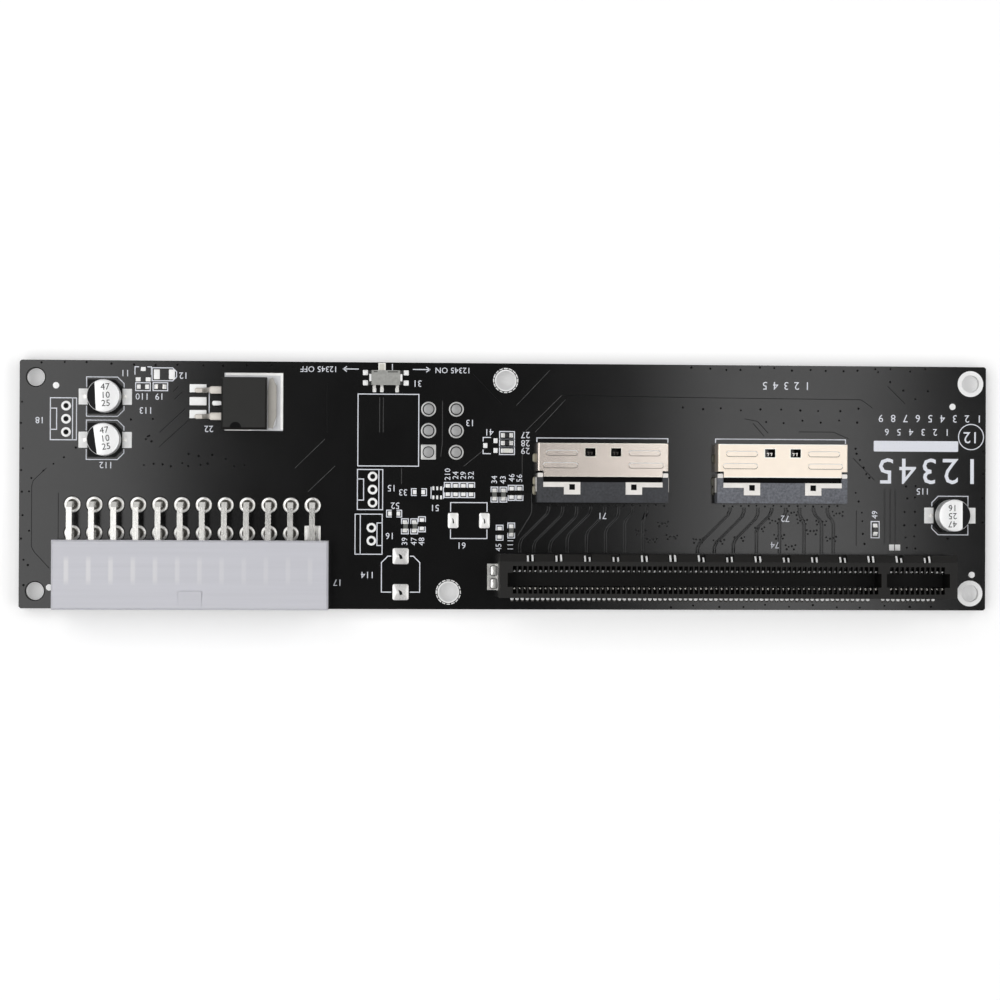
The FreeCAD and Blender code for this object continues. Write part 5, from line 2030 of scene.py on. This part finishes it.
@dataclass
class Regulator:
    """Pads, bent tab, moulding mark and printed line of the voltage regulator."""

    tab_pad: BarePads = BarePads((-49.35, 16.15), Side.RIGHT, 1, pad=(11.3, 11.2))
    lead_pads: BarePads = BarePads((-60.1, 16.2), Side.FRONT, 3, 2.5, (1.58, 3.24))
    solder: Point = (0.5, 0.1)
    lead_pitch: float = 2.54
    lead_thickness: float = 0.5
    lead_widths: Point = (1.5, 0.95)
    shoulder: float = 2.4
    heel: float = 3.6
    toe: float = 5.25
    stub: float = 1.75
    plate: tuple[Point, ...] = ((0.1, -4.75), (0.95, -4.9), (1.15, -3.9), (1.62, -2.6), (1.62, 3.4),
                                (1.4, 3.9), (0.95, 5.0), (0.3, 4.7), (0.0, 2.4))
    mark: float = 1.1
    mark_place: Point = (2.75, 0.3)
    line_gap: float = 2.475
    line_half: float = 2.1
    line_width: float = 0.2

    def pads(self) -> None:
        """Pads under the tab and the leads, and the solder around the tab."""
        pad_shape([self.tab_pad], 0.02).lay("regulator_tab_pads", PAD_TIN, "tin")
        pad_shape([self.lead_pads], 0.02).lay("regulator_lead_pads", PALE_TIN, "tin")
        (pad,) = self.tab_pad.pads()
        rim, height = self.solder
        u, v = (side / 2 - rim / 2 for side in pad.size)
        x, y = pad.centre
        corner = [(x - u, y + v), (x + u, y + v), (x + u, y - v)]
        solder = Shape()
        for line in (corner, [(x - u, y - v), (x - 0.1 * u, y - v)]):
            solder.stroke(line, rim, BOARD_TOP, BOARD_TOP + height)
        solder.lay("regulator_pad_solder", BRIGHT_SOLDER, "tin")

    def leads(self) -> None:
        """Two bent leads with wide shoulders and the cropped middle one, in place of the plain leads."""
        low, high = box_of("regulator_leads")
        middle, face = (low.y + high.y) / 2, high.x
        wide, slim = self.lead_widths
        upper, foot = high.z - self.lead_thickness / 2, low.z + self.lead_thickness / 2
        knee, heel, toe = face - self.shoulder, face - self.heel, face - self.toe
        bends = [(face, upper, wide), (knee + 0.4, upper, wide), (knee, upper - 0.08, slim),
                 (knee - 0.35, upper - 0.5, slim), (heel + 0.35, foot + 0.5, slim),
                 (heel - 0.1, foot + 0.06, slim), (heel - 0.5, foot, slim), (toe + 0.25, foot, slim),
                 (toe, foot, slim * 0.5)]
        pair = Shape()
        for side in (-self.lead_pitch, self.lead_pitch):
            pair.strap(middle + side, bends, self.lead_thickness)
        pair.lay("regulator_bent_leads", LEAD_TIN, "tin", stands_for=("regulator_leads",))
        end = face - self.stub
        cropped = [(face, upper, slim * 0.8), (face - 0.7, upper, slim), (end + 0.2, upper, slim),
                   (end, upper, slim * 0.6)]
        stub = Shape().strap(middle, cropped, self.lead_thickness)
        stub.lay("regulator_cropped_lead", PALE_TIN, "tin")

    def tab(self) -> None:
        """Worn plate on the bent tab, with painted shade along its edge."""
        _, body = box_of("regulator_body")
        _, tab = box_of("regulator_tab")
        x, y = body.x + 0.1, self.tab_pad.centre[1] - 0.3
        outline = [(x + u, y + v) for u, v in self.plate]
        plate = Shape().prism(outline, BOARD_TOP, tab.z + 0.1)
        plate.lay("regulator_bent_tab", TAB_TIN, "tin")
        # Painted shade along the bent edge.
        crease = Shape().stroke(outline[1:6], 0.1, tab.z, tab.z + 0.11)
        crease.lay("regulator_tab_crease", RIB_SHADE, "tin")

    def marks(self) -> None:
        """Moulding mark in the case and printed line beside it."""
        low, high = box_of("regulator_body")
        place = (low.x + self.mark_place[0], low.y + self.mark_place[1])
        notch = arc(place, self.mark, 0, math.pi, 16)
        mark = Shape().prism(notch, high.z - 0.3, high.z + SKIN)
        mark.lay("regulator_mould_mark", DIMPLE, "black_plastic")
        x, middle = low.x - self.line_gap, (low.y + high.y) / 2
        ends = [(x, middle - self.line_half), (x, middle + self.line_half)]
        line = Shape().stroke(ends, self.line_width, BOARD_TOP, BOARD_TOP + INK)
        line.lay("regulator_print", WHITE_INK)

    def dress(self) -> None:
        """Build the pieces of the regulator."""
        self.pads()
        self.leads()
        self.tab()
        self.marks()


@dataclass(frozen=True)
class SoftBox:
    """Long soft box that hangs level above the card: its edges along X in metres, and its brightness."""

    name: str
    left: float
    right: float
    radiance: float


@dataclass
class Studio:
    """Floor, soft boxes, sky and camera."""

    eye: Triple = (-28.64, -6.39, 641.52)
    turn: Triple = (0.2017, -4.4259, 0.2515)
    lens: float = 118.15
    sensor: float = 36.0
    shift: Point = (-0.11443, 0.00696)
    nearest: float = 0.02
    floor_size: float = 6000.0
    floor_drop: float = 0.02
    floor_thickness: float = 5.0
    floor_tones: Point = (0.86, 0.89)
    floor_glow: float = 0.26
    floor_reach: float = 2500.0
    sky: float = 0.09
    horizon: float = 0.1
    lamp_height: float = 1.0
    lamp_depth: float = 1.6
    lamps: tuple[SoftBox, ...] = (
        SoftBox("soft_box_left", -1.1, -0.127, 2.25),
        SoftBox("soft_box_right", 0.13, 0.245, 2.3),
        SoftBox("soft_box_far_right", 0.45, 1.2, 2.0),
    )

    def camera(self) -> None:
        """Camera at the photograph's angle."""
        data = bpy.data.cameras.new("camera")
        data.lens = self.lens
        data.sensor_width = self.sensor
        data.shift_x, data.shift_y = self.shift
        data.clip_start = self.nearest
        made = new_object("camera", data)
        made.location = Vector(self.eye) * MM
        made.rotation_euler = [math.radians(a) for a in self.turn]
        bpy.context.scene.camera = made

    def light(self, lamp: SoftBox) -> None:
        """Hang one soft box.

        Args:
            lamp: The soft box.
        """
        data = bpy.data.lights.new(lamp.name, "AREA")
        data.shape = "RECTANGLE"
        data.size = lamp.right - lamp.left
        data.size_y = self.lamp_depth
        data.energy = lamp.radiance * math.pi * data.size * data.size_y
        made = new_object(lamp.name, data)
        made.location = ((lamp.left + lamp.right) / 2, 0, self.lamp_height)

    def floor(self) -> None:
        """Pale floor that looks white to the camera and keeps the object's shadow."""
        top = CAD_BOX[0][2] / MM - self.floor_drop
        outline = rounded(ORIGIN, (self.floor_size, self.floor_size), radius=10)
        shape = Shape().prism(outline, top - self.floor_thickness, top)
        material = bpy.data.materials.new("studio_floor")
        graph = Graph(material)
        paper = graph.blend(graph.noise(grain=40.0), *[(tone, tone, tone) for tone in self.floor_tones])
        graph.shade(Base_Color=paper, Roughness=0.9)
        x, y = (graph.axis(i) * (1 / self.floor_reach) for i in (0, 1))
        level = self.floor_glow + (x * x + y * y).clamped() * (1 - self.floor_glow)
        strength = graph.seen() * level
        glow = graph.node("ShaderNodeEmission", None, {"Color": (1, 1, 1), "Strength": strength})
        both = graph.node("ShaderNodeAddShader", None, {0: glow, 1: Sock(graph, graph.shader.outputs[0])})
        end = next(n for n in graph.tree.nodes if n.type == "OUTPUT_MATERIAL")
        graph.tree.links.new(both.socket, end.inputs["Surface"])
        shape.piece("studio_floor", material)

    def build(self) -> None:
        """Set up the studio."""
        scene = bpy.context.scene
        scene.view_settings.view_transform = "Standard"
        scene.world = bpy.data.worlds.new("studio_sky")
        sky = Graph(scene.world, "BACKGROUND")
        height = sky.node("ShaderNodeSeparateXYZ", None, {0: sky.node("ShaderNodeTexCoord")}, 2)
        white = sky.seen() * (height < self.horizon)
        sky.shade(Color=(1, 1, 1), Strength=self.sky + white * (1 - self.sky))
        self.floor()
        self.camera()
        for lamp in self.lamps:
            self.light(lamp)


def dress_nodes() -> None:
    """Give every solid of the frame its finish."""
    for name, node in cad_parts.items():
        finish = NODE_FINISHES.get(name)
        if finish is None:
            finish = next(f for ending, f in ENDING_FINISHES.items() if name.endswith(ending))
        node.data.materials.clear()
        node.data.materials.append(finish.material())


def main() -> None:
    """Build the looks in order."""
    logging.basicConfig(level=logging.INFO, format="%(message)s")
    dress_nodes()
    stamps = Stamps()
    sweeps = Sweeps()
    places = FITTED_PLACES + SPARE_PLACES
    Board(stamps, sweeps, places, SOLDERED_PLACES).dress()
    Printing(places + SOLDERED_PLACES).dress()
    PowerHeader(stamps).dress()
    CardSlot(stamps).dress()
    # The first socket's latch prongs carry painted shade; the second's are plain sheet.
    CableSocket(stamps, sweeps, 1, SHADED_CONTACT, FLUX_SOLDER).dress()
    CableSocket(stamps, sweeps, 2, SHEET, DARK_FLUX).dress()
    for can in (Can(1, Side.LEFT, ("47", "10", "25"), 0.05), Can(2, Side.LEFT, ("47", "10", "25"), 0.14),
                Can(3, Side.RIGHT, ("47", "25", "16"))):
        can.dress()
    SlideSwitch().dress()
    Regulator().dress()
    Studio().build()


if __name__ == "__main__":
    main()
